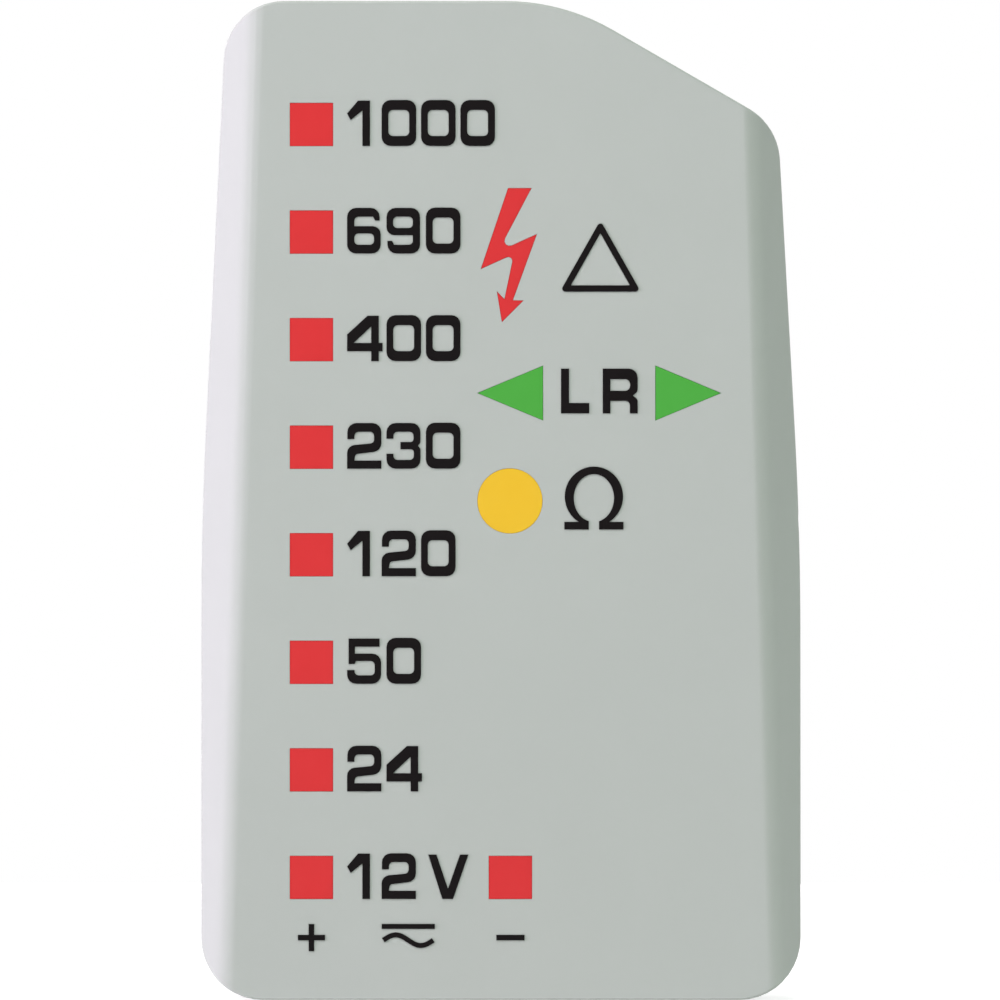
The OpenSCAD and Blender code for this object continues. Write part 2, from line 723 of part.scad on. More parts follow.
module bevel(low, high, tilt, r, inset) {
    lean = atan((high - low) / body_h);
    for (side = [0, 1])
        mirror([side, 0, 0])
            translate([side_x - low, front_y, 0])
                rotate([0, -lean, 0])
                    translate([0, 0, -body_d])
                        linear_extrude(body_h + 2 * body_d)
                            polygon(bevel_section(tilt, r, inset));
}

module front_solid(inset, y1) {
    difference() {
        slab(front_y + inset, y1)
            outline(inset);
        bevel(bevel_low, bevel_high, bevel_tilt, bevel_r, inset);
    }
}

module rear_solid(inset, y0) {
    difference() {
        slab(y0, back_y - inset)
            outline(inset);
        mirror([0, 1, 0])
            bevel(rear_bevel_low, rear_bevel_high, rear_bevel_tilt, rear_bevel_r, inset);
    }
}

module square_at(x, z, side) {
    translate([x, z])
        square(side, center = true);
}

function arrow_pts(base, dir) = dir > 0 ?
    [[base, arrow_z - arrow_w / 2, 0], [base + arrow_l, arrow_z, 0], [base, arrow_z + arrow_w / 2, 0]] :
    [[base, arrow_z + arrow_w / 2, 0], [base - arrow_l, arrow_z, 0], [base, arrow_z - arrow_w / 2, 0]];
function bolt_pts() = [for (p = grid(bolt_px)) [p.x + bolt_at_x, p.y + bolt_at_z, p.z]];

// Windows in the face, each grown by grow
module voltage_windows(grow) {
    for (i = [0 : rows - 1])
        square_at(-window_at_x, row_z(i), window_side + 2 * grow);
}
module polarity_window(grow) {
    square_at(polarity_at_x, row_z(0), window_side + 2 * grow);
}
module phase_window(grow) {
    polygon(rounded(moved(bolt_pts(), -grow), glyph_n));
}
module arrow_window(base, dir, grow) {
    polygon(rounded(moved(arrow_pts(base, dir), -grow), glyph_n));
}
module lamp_window(grow) {
    translate([lamp_at_x, lamp_at_z])
        circle(lamp_r + grow);
}

// Saddle between z0 and z1 that holds a round piece of radius r at x, with a slot for its flange
module saddle(x, r, z0, z1, flange_r, slot_z0, slot_z1, y_wall) {
    w = flange_r + cradle_clear + cradle_rim;
    difference() {
        block([x - w, min(0, y_wall), z0], [x + w, max(0, y_wall), z1]);
        translate([x, 0, z0 - over])
            cylinder(r = r + cradle_clear, h = z1 - z0 + 2 * over);
        translate([x, 0, slot_z0])
            cylinder(r = flange_r + cradle_clear, h = slot_z1 - slot_z0);
    }
}

// Saddles of one cover: the socket bush at the top and the grommet at the bottom
module saddles(y_top, y_bottom) {
    saddle(-socket_at_x, bush_body_r, body_h - wall - collar_t - cradle_clear - cradle_t,
        body_h - wall / 2, collar_r, body_h - wall - collar_t - cradle_clear,
        body_h - wall, y_top);
    saddle(0, grommet_sleeve_r, wall / 2, wall + grommet_flange_t + cradle_clear + cradle_t,
        grommet_flange_r, wall, wall + grommet_flange_t + cradle_clear, y_bottom);
}

// Room for the socket bush and the grommet in the end walls
module end_holes() {
    translate([-socket_at_x, 0, body_h - wall - over])
        cylinder(r = bush_r, h = wall + 2 * over);
    translate([0, 0, -over])
        cylinder(r = grommet_r, h = wall + 2 * over);
}

module front_cover() {
    color("#babfbb")
        difference() {
            union() {
                difference() {
                    front_solid(0, 0);
                    front_solid(wall, over);
                }
                intersection() {
                    front_solid(wall / 2, 0);
                    union() {
                        for (at = boss_places)
                            rod_y(boss_r, at, face_in_y - wall / 2, 0);
                        for (at = post_places)
                            rod_y(post_r, at, face_in_y - wall / 2, board_front_y);
                        saddles(board_back_y + board_notch, board_back_y + board_notch);
                    }
                }
            }
            for (at = boss_places)
                rod_y(screw_r + shaft_clear, at, -screw_bite - over, over);
            for (at = post_places)
                rod_y(post_screw_r + shaft_clear, at, board_front_y - post_bite, board_front_y + over);
            end_holes();
            slab(front_y - over, face_in_y + over) {
                voltage_windows(window_clear);
                polarity_window(window_clear);
                phase_window(window_clear);
                arrow_window(arrow_left_at_x, -1, window_clear);
                arrow_window(arrow_right_at_x, 1, window_clear);
                lamp_window(window_clear);
            }
        }
}

module rear_cover() {
    color("#b3b8b4")
        difference() {
            union() {
                difference() {
                    rear_solid(0, 0);
                    rear_solid(wall, -over);
                }
                intersection() {
                    rear_solid(wall / 2, 0);
                    union() {
                        for (at = boss_places)
                            rod_y(boss_r, at, 0, back_in_y + wall / 2);
                        for (at = boss_places)
                            rod_y(screw_head_r + wall, at,
                                back_y - screw_sink - screw_head_h - wall, back_in_y + wall / 2);
                        rod_y(dish_r + wall, [0, button_at_z], pad_in_y, back_in_y + wall / 2);
                        saddles(back_in_y + wall / 2, back_in_y + wall / 2);
                        rod_y(insert_r + insert_wall, [0, door_screw_z],
                            insert_y - insert_l - bay_wall, back_in_y + wall / 2);
                    }
                }
                block([-bay_x - bay_wall, bay_out_y, bay_z - bay_wall],
                    [bay_x + bay_wall, back_in_y + wall / 2, bay_top_z + bay_wall]);
                block([-pocket_x - bay_wall, ledge_in_y, hinge_z + trough_r - bay_wall],
                    [pocket_x + bay_wall, back_in_y + wall / 2, pocket_top_z + bay_wall]);
                block([-pocket_x - pin_l - bay_wall, hinge_y - trough_r - bay_wall,
                        hinge_z - trough_r - bay_wall],
                    [pocket_x + pin_l + bay_wall, back_in_y + wall / 2, bay_z]);
            }
            block([-bay_x, bay_in_y, bay_z], [bay_x, back_y + over, bay_top_z]);
            block([-pocket_x, pocket_y, hinge_z], [pocket_x, back_y + over, pocket_top_z]);
            block([-pocket_x, hinge_y - trough_r, hinge_z - trough_r],
                [pocket_x, back_y + over, hinge_z + trough_r]);
            translate([-pocket_x - pin_l - pin_clear, hinge_y, hinge_z])
                rotate([0, 90, 0])
                    cylinder(r = pin_r + pin_clear, h = 2 * (pocket_x + pin_l + pin_clear));
            slab(pocket_y - gasket_t, back_y)
                gasket_ring();
            rod_y(insert_r, [0, door_screw_z], insert_y - insert_l, pocket_y + over);
            for (at = boss_places) {
                rod_y(screw_r + board_notch, at, -over, back_y);
                rod_y(screw_head_r + board_notch, at, back_y - screw_sink - screw_head_h,
                    back_y + over);
            }
            rod_y(dish_r, [0, button_at_z], dish_y, back_y + over);
            rod_y(button_r + button_clear, [0, button_at_z], pad_in_y - over, back_y);
            for (side = [-1, 1])
                rod_y(leg_r + shaft_clear * 2, [side * cell_x, bay_top_z - plate_t / 2],
                    bay_out_y - over, bay_in_y + over);
            end_holes();
            slab(-over, seal_t)
                seal_ring();
            slab(-over, shadow_h)
                difference() {
                    outline(-over);
                    outline(shadow_d);
                }
        }
}

module seal_ring() {
    difference() {
        outline((wall - seal_w) / 2);
        outline((wall + seal_w) / 2);
    }
}

module gasket_ring() {
    edge = (ledge_w - gasket_w) / 2;
    difference() {
        translate([-bay_x - edge - gasket_w, bay_z - edge - gasket_w])
            square([2 * (bay_x + edge + gasket_w), bay_l + 2 * (edge + gasket_w)]);
        translate([-bay_x - edge, bay_z - edge])
            square([2 * (bay_x + edge), bay_l + 2 * edge]);
    }
}

module housing_seal() {
    color("#26282a")
        difference() {
            slab(0, seal_t)
                seal_ring();
            end_holes();
        }
}

module housing_screws() {
    color("#8c8f92")
        for (at = boss_places)
            difference() {
                union() {
                    rod_y(screw_head_r, at, back_y - screw_sink - screw_head_h,
                        back_y - screw_sink);
                    rod_y(screw_r, at, -screw_bite, back_y - screw_sink - screw_head_h + over);
                }
                block([at[0] - screw_head_r - over, back_y - screw_sink - screw_slot_d,
                        at[1] - screw_slot_w / 2],
                    [at[0] + screw_head_r + over, back_y - screw_sink + over,
                        at[1] + screw_slot_w / 2]);
            }
}

module voltage_light_guides() {
    half = window_side / 2 + guide_rim;
    color("#e13f42") {
        slab(front_y, face_in_y + guide_t / 2)
            voltage_windows(0);
        block([-window_at_x - half, face_in_y, row_z(0) - half],
            [-window_at_x + half, guide_in_y, row_z(rows - 1) + half]);
    }
}

module polarity_light_guide() {
    color("#e13f42") {
        slab(front_y, face_in_y + guide_t / 2)
            polarity_window(0);
        slab(face_in_y, guide_in_y)
            polarity_window(guide_rim);
    }
}

module phase_light_guide() {
    color("#e13f42") {
        slab(front_y, face_in_y + guide_t / 2)
            phase_window(0);
        block([bolt_at_x + min([for (p = grid(bolt_px)) p.x]) - guide_rim, face_in_y, bolt_at_z - guide_rim],
            [bolt_at_x + max([for (p = grid(bolt_px)) p.x]) + guide_rim, guide_in_y,
                bolt_at_z + max([for (p = grid(bolt_px)) p.y]) + guide_rim]);
    }
}

module arrow_guide(base, dir) {
    color("#52b248") {
        slab(front_y, face_in_y + guide_t / 2)
            arrow_window(base, dir, 0);
        slab(face_in_y, guide_in_y)
            translate([min(base, base + dir * arrow_l) - guide_rim, arrow_z - arrow_w / 2 - guide_rim])
                square([arrow_l + 2 * guide_rim, arrow_w + 2 * guide_rim]);
    }
}

module left_arrow_light_guide() {
    arrow_guide(arrow_left_at_x, -1);
}

module right_arrow_light_guide() {
    arrow_guide(arrow_right_at_x, 1);
}

module continuity_light_guide() {
    color("#f3c637") {
        slab(front_y, face_in_y + guide_t / 2)
            lamp_window(0);
        slab(face_in_y, guide_in_y)
            lamp_window(guide_rim);
    }
}

// One character of the lettering with its lower left corner at the origin
module glyph(pts, hole = []) {
    difference() {
        polygon(rounded(grid(pts), glyph_n));
        if (len(hole) > 0)
            polygon(rounded(grid(hole), glyph_n));
    }
}

module digit(d) {
    if (d == 0)
        glyph(zero_px, zero_hole_px);
    if (d == 1)
        glyph(one_px);
    if (d == 2)
        glyph(two_px);
    if (d == 3)
        glyph(three_px);
    if (d == 4)
        glyph(four_px, four_hole_px);
    if (d == 5)
        glyph(five_px);
    if (d == 6)
        glyph(six_px, six_hole_px);
    if (d == 9)
        translate(six_turn_px * px)
            rotate(180)
                glyph(six_px, six_hole_px);
}

function oval(size) = [for (i = [0 : oval_n - 1])
    let (a = i * 360 / oval_n)
    [size.x * cos(a), size.z + size.y * sin(a)]];

module ohm_sign() {
    difference() {
        union() {
            polygon(grid(oval(ohm_outer_px)));
            translate([-ohm_feet_px.x * px / 2, 0])
                square(ohm_feet_px * px);
        }
        polygon(grid(oval(ohm_inner_px)));
        translate([-ohm_gap_px * px / 2, -over])
            square([ohm_gap_px * px, over + ohm_inner_px.z * px]);
    }
}

// Row of digits; each starts where the steps before it end
module number(digits) {
    for (i = [0 : len(digits) - 1]) {
        ones = len([for (k = [0 : 1 : i - 1]) if (digits[k] == 1) k]);
        translate([ones * one_step + (i - ones) * digit_step, 0])
            digit(digits[i]);
    }
}

scale_rows = [[1, 2], [2, 4], [5, 0], [1, 2, 0], [2, 3, 0], [4, 0, 0], [6, 9, 0], [1, 0, 0, 0]];

function wave_at(t) = [(t - 1 / 2) * wave_px * px, wave_high_px * px * sin(t * 360)];
function wave_side(t, s) =
    let (u = unit(wave_at(t + 1 / wave_n) - wave_at(t - 1 / wave_n)))
    wave_at(t) + s * wave_line_px * px / 2 * [-u.y, u.x];

module signs() {
    letters_z = arrow_z + letter_rise - px * left_px[4].y / 2;
    translate([-window_at_x, sign_z]) {
        square([plus_px * px, plus_line_px * px], center = true);
        square([plus_line_px * px, plus_px * px], center = true);
    }
    translate([polarity_at_x, sign_z])
        square([minus_px * px, plus_line_px * px], center = true);
    translate([-mixed_at_x, sign_z]) {
        translate([0, bar_rise_px * px])
            square([bar_px * px, bar_line_px * px], center = true);
        translate([0, -wave_drop_px * px])
            polygon(concat([for (i = [0 : wave_n]) wave_side(i / wave_n, -1)],
                [for (i = [wave_n : -1 : 0]) wave_side(i / wave_n, 1)]));
    }
    translate([triangle_at_x, triangle_at_z])
        difference() {
            polygon(rounded(grid(triangle_px), glyph_n));
            polygon(rounded(moved(grid(triangle_px), triangle_line_px * px), 1));
        }
    translate([left_letter_at_x, letters_z])
        glyph(left_px);
    translate([right_letter_at_x, letters_z])
        glyph(right_px, right_hole_px);
    translate([ohm_at_x, ohm_at_z])
        ohm_sign();
}

module printed_scale() {
    digit_h = zero_px[2].y * px;
    color("#191516")
        slab(front_y - ink_t, front_y) {
            for (i = [0 : rows - 1])
                translate([-digits_at_x, row_z(i) + digits_rise - digit_h / 2])
                    number(scale_rows[i]);
            translate([-digits_at_x + one_step + volt_step, row_z(0) + digits_rise - digit_h / 2])
                glyph(volt_px);
            signs();
        }
}

// Places of the indicator lamps, across and up
arrow_mid = arrow_l / 3;
lamp_places = concat(
    [for (i = [0 : rows - 1]) [-window_at_x, row_z(i)]],
    [[polarity_at_x, row_z(0)],
        [arrow_left_at_x - arrow_mid, arrow_z],
        [arrow_right_at_x + arrow_mid, arrow_z],
        [lamp_at_x, lamp_at_z],
        [bolt_at_x + px * bolt_px[8].x / 2, bolt_at_z + px * bolt_px[8].y]]);
cell_half = led_side / 2 + shield_clear + shield_wall;

module light_shield() {
    top = len(lamp_places) - 1;
    color("#202224")
        slab(guide_in_y, board_front_y)
            difference() {
                union() {
                    for (at = lamp_places)
                        square_at(at[0], at[1], 2 * cell_half);
                    translate([-window_at_x - shield_bar / 2, row_z(0)])
                        square([shield_bar, row_z(rows - 1) - row_z(0)]);
                    translate([-window_at_x, row_z(0) - shield_bar / 2])
                        square([window_at_x + polarity_at_x, shield_bar]);
                    translate([-window_at_x, arrow_z - shield_bar / 2])
                        square([window_at_x + arrow_right_at_x, shield_bar]);
                    translate([lamp_at_x - shield_bar / 2, lamp_at_z])
                        square([shield_bar, lamp_places[top][1] - lamp_at_z]);
                }
                for (at = lamp_places)
                    square_at(at[0], at[1], led_side + 2 * shield_clear);
            }
}

module main_board() {
    color("#1f5c3a")
        difference() {
            slab(board_front_y, board_back_y)
                outline(wall + board_clear);
            for (at = boss_places)
                rod_y(boss_r + board_notch, at, board_front_y - over, board_back_y + over);
            for (at = post_places)
                rod_y(post_screw_r + shaft_clear, at, board_front_y - over, board_back_y + over);
            translate([0, 0, -over])
                cylinder(r = grommet_flange_r + board_notch,
                    h = over + wall + grommet_flange_t + board_notch);
            translate([-socket_at_x, 0, body_h - wall - collar_t - board_notch])
                cylinder(r = collar_r + board_notch, h = wall + collar_t);
        }
}

module board_screws() {
    color("#a8abad")
        for (at = post_places) {
            rod_y(post_head_r, at, board_back_y, board_back_y + post_head_h);
            rod_y(post_screw_r, at, board_front_y - post_bite, board_back_y + post_head_h / 2);
        }
}

module indicator_lamps() {
    color("#e8e4da")
        slab(board_front_y - led_h, board_front_y)
            for (at = lamp_places)
                square_at(at[0], at[1], led_side);
}

module microcontroller() {
    color("#2a2a2c")
        slab(board_back_y, board_back_y + chip_h)
            square_at(0, chip_z, chip_side);
}

module series_resistors() {
    color("#3f6fa0")
        for (i = [0 : resistors - 1])
            translate([-resistor_at_x - resistor_l / 2, board_back_y + resistor_r,
                    resistor_z + i * resistor_pitch])
                rotate([0, 90, 0])
                    cylinder(r = resistor_r, h = resistor_l);
}

module thermistors() {
    color("#c8902c") {
        rod_y(ptc_r, [-ptc_at_x, ptc_left_z], board_back_y, board_back_y + ptc_h);
        rod_y(ptc_r, [ptc_at_x, ptc_right_z], board_back_y, board_back_y + ptc_h);
    }
}

module buzzer() {
    color("#17181a")
        difference() {
            rod_y(buzzer_r, [-buzzer_at_x, buzzer_z], board_back_y, board_back_y + buzzer_h);
            rod_y(buzzer_hole_r, [-buzzer_at_x, buzzer_z], board_back_y + buzzer_h - buzzer_hole_d,
                board_back_y + buzzer_h + over);
        }
}

module lead_terminal() {
    color("#c9a04a")
        difference() {
            block([-terminal_w / 2, board_back_y, terminal_z - terminal_l / 2],
                [terminal_w / 2, board_back_y + terminal_h, terminal_z + terminal_l / 2]);
            rod_y(terminal_hole_r, [0, terminal_z], board_back_y + wall / 2,
                board_back_y + terminal_h + over);
        }
}

module switch_body() {
    color("#303236")
        difference() {
            block([-switch_side / 2, board_back_y, button_at_z - switch_side / 2],
                [switch_side / 2, switch_y, button_at_z + switch_side / 2]);
            rod_y(plunger_r + plunger_clear, [0, button_at_z], switch_y - switch_hole_d, switch_y + over);
        }
}

module motor_can() {
    color("#b9bcbe")
        translate([motor_at_x, motor_y, motor_z])
            difference() {
                cylinder(r = motor_r, h = motor_l);
                translate([0, 0, -over])
                    cylinder(r = shaft_r + shaft_clear, h = shaft_in + over + shaft_clear);
            }
}

module motor_bracket() {
    half = motor_r + bracket_wall;
    z0 = motor_z + (motor_l - bracket_l) / 2;
    color("#35383b")
        difference() {
            block([motor_at_x - half, board_back_y, z0], [motor_at_x + half, motor_y + half, z0 + bracket_l]);
            translate([motor_at_x, motor_y, z0 - over])
                cylinder(r = motor_r, h = bracket_l + 2 * over);
        }
}

module motor_shaft() {
    color("#d0d2d3")
        translate([motor_at_x, motor_y, motor_z - shaft_out])
            cylinder(r = shaft_r, h = shaft_out + shaft_in);
}

module eccentric_weight() {
    color("#6d6a64")
        translate([motor_at_x, motor_y, motor_z - weight_gap - weight_t])
            difference() {
                cylinder(r = weight_r, h = weight_t);
                translate([-weight_r - over, 2 * shaft_r, -over])
                    cube([2 * (weight_r + over), weight_r + over, weight_t + 2 * over]);
                translate([0, 0, -over])
                    cylinder(r = shaft_r, h = weight_t + 2 * over);
            }
}

cell_z = bay_z + plate_t;

// The left cell points up and the right cell down
module battery_cells() {
    can_l = cell_l - nub_l;
    color("#3c4046") {
        translate([-cell_x, cell_y, cell_z + spring_l])
            cylinder(r = cell_d / 2, h = can_l);
        translate([-cell_x, cell_y, cell_z + spring_l + can_l])
            cylinder(r = nub_r, h = nub_l);
        translate([cell_x, cell_y, cell_z + nub_l])
            cylinder(r = cell_d / 2, h = can_l);
        translate([cell_x, cell_y, cell_z])
            cylinder(r = nub_r, h = nub_l);
    }
}

module battery_springs() {
    pts = coil_pts(spring_r, spring_l - 2 * wire_r, spring_turns, coil_rings);
    echo(battery_spring_gap = self_gap(pts, coil_rings, wire_r));
    color("#c4c7c9") {
        translate([-cell_x, cell_y, cell_z + wire_r])
            tube(pts, wire_r);
        translate([cell_x, cell_y, bay_top_z - plate_t - spring_l + wire_r])
            tube(pts, wire_r);
    }
}

module battery_contacts() {
    half = plate_w / 2;
    color("#c4c7c9") {
        block([-cell_x - half, cell_y - half, bay_z], [cell_x + half, cell_y + half, bay_z + plate_t]);
        for (side = [-1, 1]) {
            block([side * cell_x - half, bay_in_y, bay_top_z - plate_t],
                [side * cell_x + half, cell_y + half, bay_top_z]);
            rod_y(leg_r, [side * cell_x, bay_top_z - plate_t / 2], board_back_y,
                bay_in_y + plate_t);
        }
    }
}

module battery_door() {
    color("#b3b8b4")
        difference() {
            union() {
                block([-door_x, back_y - door_t, hinge_z], [door_x, back_y, door_top_z]);
                translate([-door_x, hinge_y, hinge_z])
                    rotate([0, 90, 0])
                        cylinder(r = barrel_r, h = 2 * door_x);
                translate([-pocket_x - pin_l + pin_clear, hinge_y, hinge_z])
                    rotate([0, 90, 0])
                        cylinder(r = pin_r, h = 2 * (pocket_x + pin_l - pin_clear));
            }
            rod_y(door_screw_r + door_bite_clear, [0, door_screw_z], back_y - door_t - over, back_y);
            rod_y(door_head_r + door_bite_clear, [0, door_screw_z], back_y - door_head_h, back_y + over);
            block([-pull_w / 2, back_y - pull_d, door_top_z - pull_d],
                [pull_w / 2, back_y + over, door_top_z + over]);
        }
}

module door_gasket() {
    color("#26282a")
        slab(pocket_y - gasket_t, pocket_y + door_gap / 2)
            gasket_ring();
}

keeper_y = back_y - door_t - door_gap / 3;

module door_screw() {
    color("#8c8f92")
        difference() {
            union() {
                rod_y(door_head_r, [0, door_screw_z], back_y - door_head_h, back_y);
                rod_y(door_screw_r, [0, door_screw_z], insert_y - door_bite, back_y - door_head_h / 2);
            }
            block([-door_head_r - over, back_y - coin_d, door_screw_z - coin_w / 2],
                [door_head_r + over, back_y + over, door_screw_z + coin_w / 2]);
        }
}

module door_screw_keeper() {
    color("#2d2f31")
        difference() {
            rod_y(keeper_r, [0, door_screw_z], keeper_y - keeper_t, keeper_y);
            rod_y(door_screw_r, [0, door_screw_z], keeper_y - keeper_t - over, keeper_y + over);
        }
}

module screw_insert() {
    color("#c9a04a")
        difference() {
            rod_y(insert_r, [0, door_screw_z], insert_y - insert_l, insert_y - keeper_t);
            rod_y(door_screw_r + door_bite_clear, [0, door_screw_z],
                insert_y - insert_l - over, insert_y + over);
        }
}

module load_button() {
    color("#3a3d40") {
        rod_y(button_r, [0, button_at_z], rim_in_y, cap_y);
        rod_y(button_r + button_rim, [0, button_at_z], rim_in_y, rim_top_y);
        rod_y(stem_r, [0, button_at_z], plunger_top_y, rim_in_y + button_rim_t / 2);
    }
}

module button_membrane() {
    color("#26282a")
        difference() {
            rod_y(button_r + button_rim, [0, button_at_z], rim_in_y - membrane_t, rim_in_y);
            rod_y(stem_r, [0, button_at_z], rim_in_y - membrane_t - over, rim_in_y + over);
        }
}

module switch_plunger() {
    color("#b0b4b8")
        rod_y(plunger_r, [0, button_at_z], switch_y - plunger_in, plunger_top_y);
}

module button_spring() {
    l = rim_in_y - membrane_t - switch_y - 2 * coil_wire_r;
    pts = coil_pts(coil_r, l, coil_turns, coil_rings);
    echo(button_spring_gap = self_gap(pts, coil_rings, coil_wire_r));
    color("#c4c7c9")
        translate([0, switch_y + coil_wire_r, button_at_z])
            rotate([-90, 0, 0])
                tube(pts, coil_wire_r);
}

module tip_socket_sleeve() {
    color("#c9a04a")
        translate([-socket_at_x, 0, 0])
            difference() {
                translate([0, 0, sleeve_z])
                    cylinder(r = sleeve_r, h = socket_l + sleeve_end);
                translate([0, 0, sleeve_top_z - socket_l])
                    cylinder(r = socket_r, h = socket_l + over);
            }
}

module tip_socket_bush() {
    color("#1c1d1f")
        translate([-socket_at_x, 0, 0])
            difference() {
                union() {
                    translate([0, 0, bush_z])
                        cylinder(r = bush_body_r, h = body_h - bush_z);
                    translate([0, 0, body_h - wall - collar_t])
                        cylinder(r = collar_r, h = collar_t);
                    translate([0, 0, body_h - wall - over])
                        cylinder(r = bush_r, h = wall + over);
                }
                translate([0, 0, bush_z - over])
                    cylinder(r = sleeve_r, h = body_h - bush_z + 2 * over);
            }
}

module tip_wire() {
    z0 = sleeve_z - lead_drop;
    color("#b02a2c") {
        translate([-socket_at_x, 0, z0])
            cylinder(r = lead_r, h = lead_drop);
        translate([-socket_at_x, 0, z0])
            sphere(r = lead_r);
        rod_y(lead_r, [-socket_at_x, z0], board_back_y, 0);
    }
}

module lead_grommet() {
    color("#1c1d1f")
        difference() {
            union() {
                cylinder(r = grommet_r, h = wall + over);
                translate([0, 0, wall])
                    cylinder(r = grommet_flange_r, h = grommet_flange_t);
                cylinder(r = grommet_sleeve_r, h = grommet_l);
            }
            translate([0, 0, -over])
                cylinder(r = inlet_r, h = grommet_l + 2 * over);
        }
}

front_cover();
rear_cover();
housing_seal();
housing_screws();
voltage_light_guides();
polarity_light_guide();
phase_light_guide();
left_arrow_light_guide();
right_arrow_light_guide();
continuity_light_guide();
printed_scale();
light_shield();
main_board();
board_screws();
indicator_lamps();
microcontroller();
series_resistors();
thermistors();
buzzer();
lead_terminal();
switch_body();
motor_can();
motor_bracket();
motor_shaft();
eccentric_weight();
battery_cells();
battery_springs();
battery_contacts();
battery_door();
door_gasket();
door_screw();
door_screw_keeper();
screw_insert();
load_button();
button_membrane();
switch_plunger();
button_spring();
tip_socket_sleeve();
tip_socket_bush();
tip_wire();
lead_grommet();
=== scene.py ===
# Display head of a two-pole voltage tester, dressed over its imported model: moulded shells with broken
# edges, tinted lights, printed scale, load button, battery door, cells and board, in a plain studio.
import json
import math

import bmesh
import bpy
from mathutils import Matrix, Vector


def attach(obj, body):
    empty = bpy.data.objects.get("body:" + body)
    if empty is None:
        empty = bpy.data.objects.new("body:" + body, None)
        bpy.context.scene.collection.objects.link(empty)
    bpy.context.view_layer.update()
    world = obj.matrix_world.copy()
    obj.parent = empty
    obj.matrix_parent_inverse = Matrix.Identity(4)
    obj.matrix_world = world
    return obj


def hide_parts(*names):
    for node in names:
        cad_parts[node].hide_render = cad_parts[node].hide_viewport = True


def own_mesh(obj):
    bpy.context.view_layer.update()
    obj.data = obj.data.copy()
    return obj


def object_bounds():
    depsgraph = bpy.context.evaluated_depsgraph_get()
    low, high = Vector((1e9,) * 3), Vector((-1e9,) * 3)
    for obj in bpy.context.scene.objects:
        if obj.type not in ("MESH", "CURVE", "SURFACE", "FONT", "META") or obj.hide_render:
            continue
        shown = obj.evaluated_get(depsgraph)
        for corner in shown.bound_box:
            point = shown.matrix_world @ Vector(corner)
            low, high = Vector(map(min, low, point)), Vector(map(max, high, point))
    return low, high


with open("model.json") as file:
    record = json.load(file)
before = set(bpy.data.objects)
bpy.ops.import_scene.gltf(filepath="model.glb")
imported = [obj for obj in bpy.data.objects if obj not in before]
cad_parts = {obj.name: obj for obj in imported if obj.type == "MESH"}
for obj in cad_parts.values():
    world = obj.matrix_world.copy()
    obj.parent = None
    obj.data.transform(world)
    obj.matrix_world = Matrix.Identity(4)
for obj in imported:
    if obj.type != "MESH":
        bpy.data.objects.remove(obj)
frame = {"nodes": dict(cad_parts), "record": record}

CAD_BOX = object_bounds()
MM = 0.001

NODES = frame["nodes"]
BODY = {node: body for body, nodes in frame["record"]["behaviour"]["bodies"].items() for node in nodes}


# Camera, light and floor

LENS = 900.0          # long lens: the photo shows no perspective
SENSOR = 36.0
VIEW_WIDTH = 106.6    # what the picture's width takes in at the face, in mm
VIEW_X = -0.1         # middle of the picture, in mm
VIEW_Z = 53.3
FACE_Y = CAD_BOX[0][1]
FURTHEST = 20.0       # how far the camera sees, in m

bpy.ops.object.select_all(action="DESELECT")
bpy.ops.object.camera_add(
    location=(VIEW_X * MM, FACE_Y - VIEW_WIDTH * MM * LENS / SENSOR, VIEW_Z * MM),
    rotation=(math.radians(90), 0, 0))
camera = bpy.context.object
camera.name = "camera"
camera.data.lens = LENS
camera.data.sensor_width = SENSOR
camera.data.clip_end = FURTHEST
bpy.context.scene.camera = camera
bpy.context.scene.view_settings.view_transform = "Standard"


def linear(code):
    """Linear colour of an sRGB hex code."""
    parts = [int(code[i:i + 2], 16) / 255 for i in (1, 3, 5)]
    return [p / 12.92 if p <= 0.04045 else ((p + 0.055) / 1.055) ** 2.4 for p in parts] + [1.0]


def add(tree, kind, values=None, links=None, **settings):
    """Adds a node with its settings, its plain values and its links."""
    node = tree.nodes.new(kind)
    for key, value in settings.items():
        setattr(node, key, value)
    for key, value in (values or {}).items():
        node.inputs[key].default_value = value
    for key, source in (links or {}).items():
        tree.links.new(source, node.inputs[key])
    return node


def looked_at(tree):
    """A socket that says 1 to the camera and to reflections in metal and glass, and 0 to light."""
    path = add(tree, "ShaderNodeLightPath")
    seen = add(tree, "ShaderNodeMath", operation="MAXIMUM",
               links={0: path.outputs["Is Camera Ray"], 1: path.outputs["Is Glossy Ray"]})
    seen = add(tree, "ShaderNodeMath", operation="MAXIMUM",
               links={0: seen.outputs[0], 1: path.outputs["Is Transmission Ray"]})
    return seen.outputs[0]


MIX_DARK, MIX_LIGHT, MIX_RESULT = 6, 7, 2   # the colour sockets of a mix node
AMBIENT = "#7f9082"   # even light from all round, a trace green as in the photo's shade
WHITE = "#ffffff"     # what the camera, metal and glass see round the object

world = bpy.data.worlds.new("studio")
bpy.context.scene.world = world
world.use_nodes = True
sky = world.node_tree
level = add(sky, "ShaderNodeMix", data_type="RGBA", links={0: looked_at(sky)},
            values={MIX_DARK: linear(AMBIENT), MIX_LIGHT: linear(WHITE)})
sky.links.new(level.outputs[MIX_RESULT], sky.nodes["Background"].inputs["Color"])

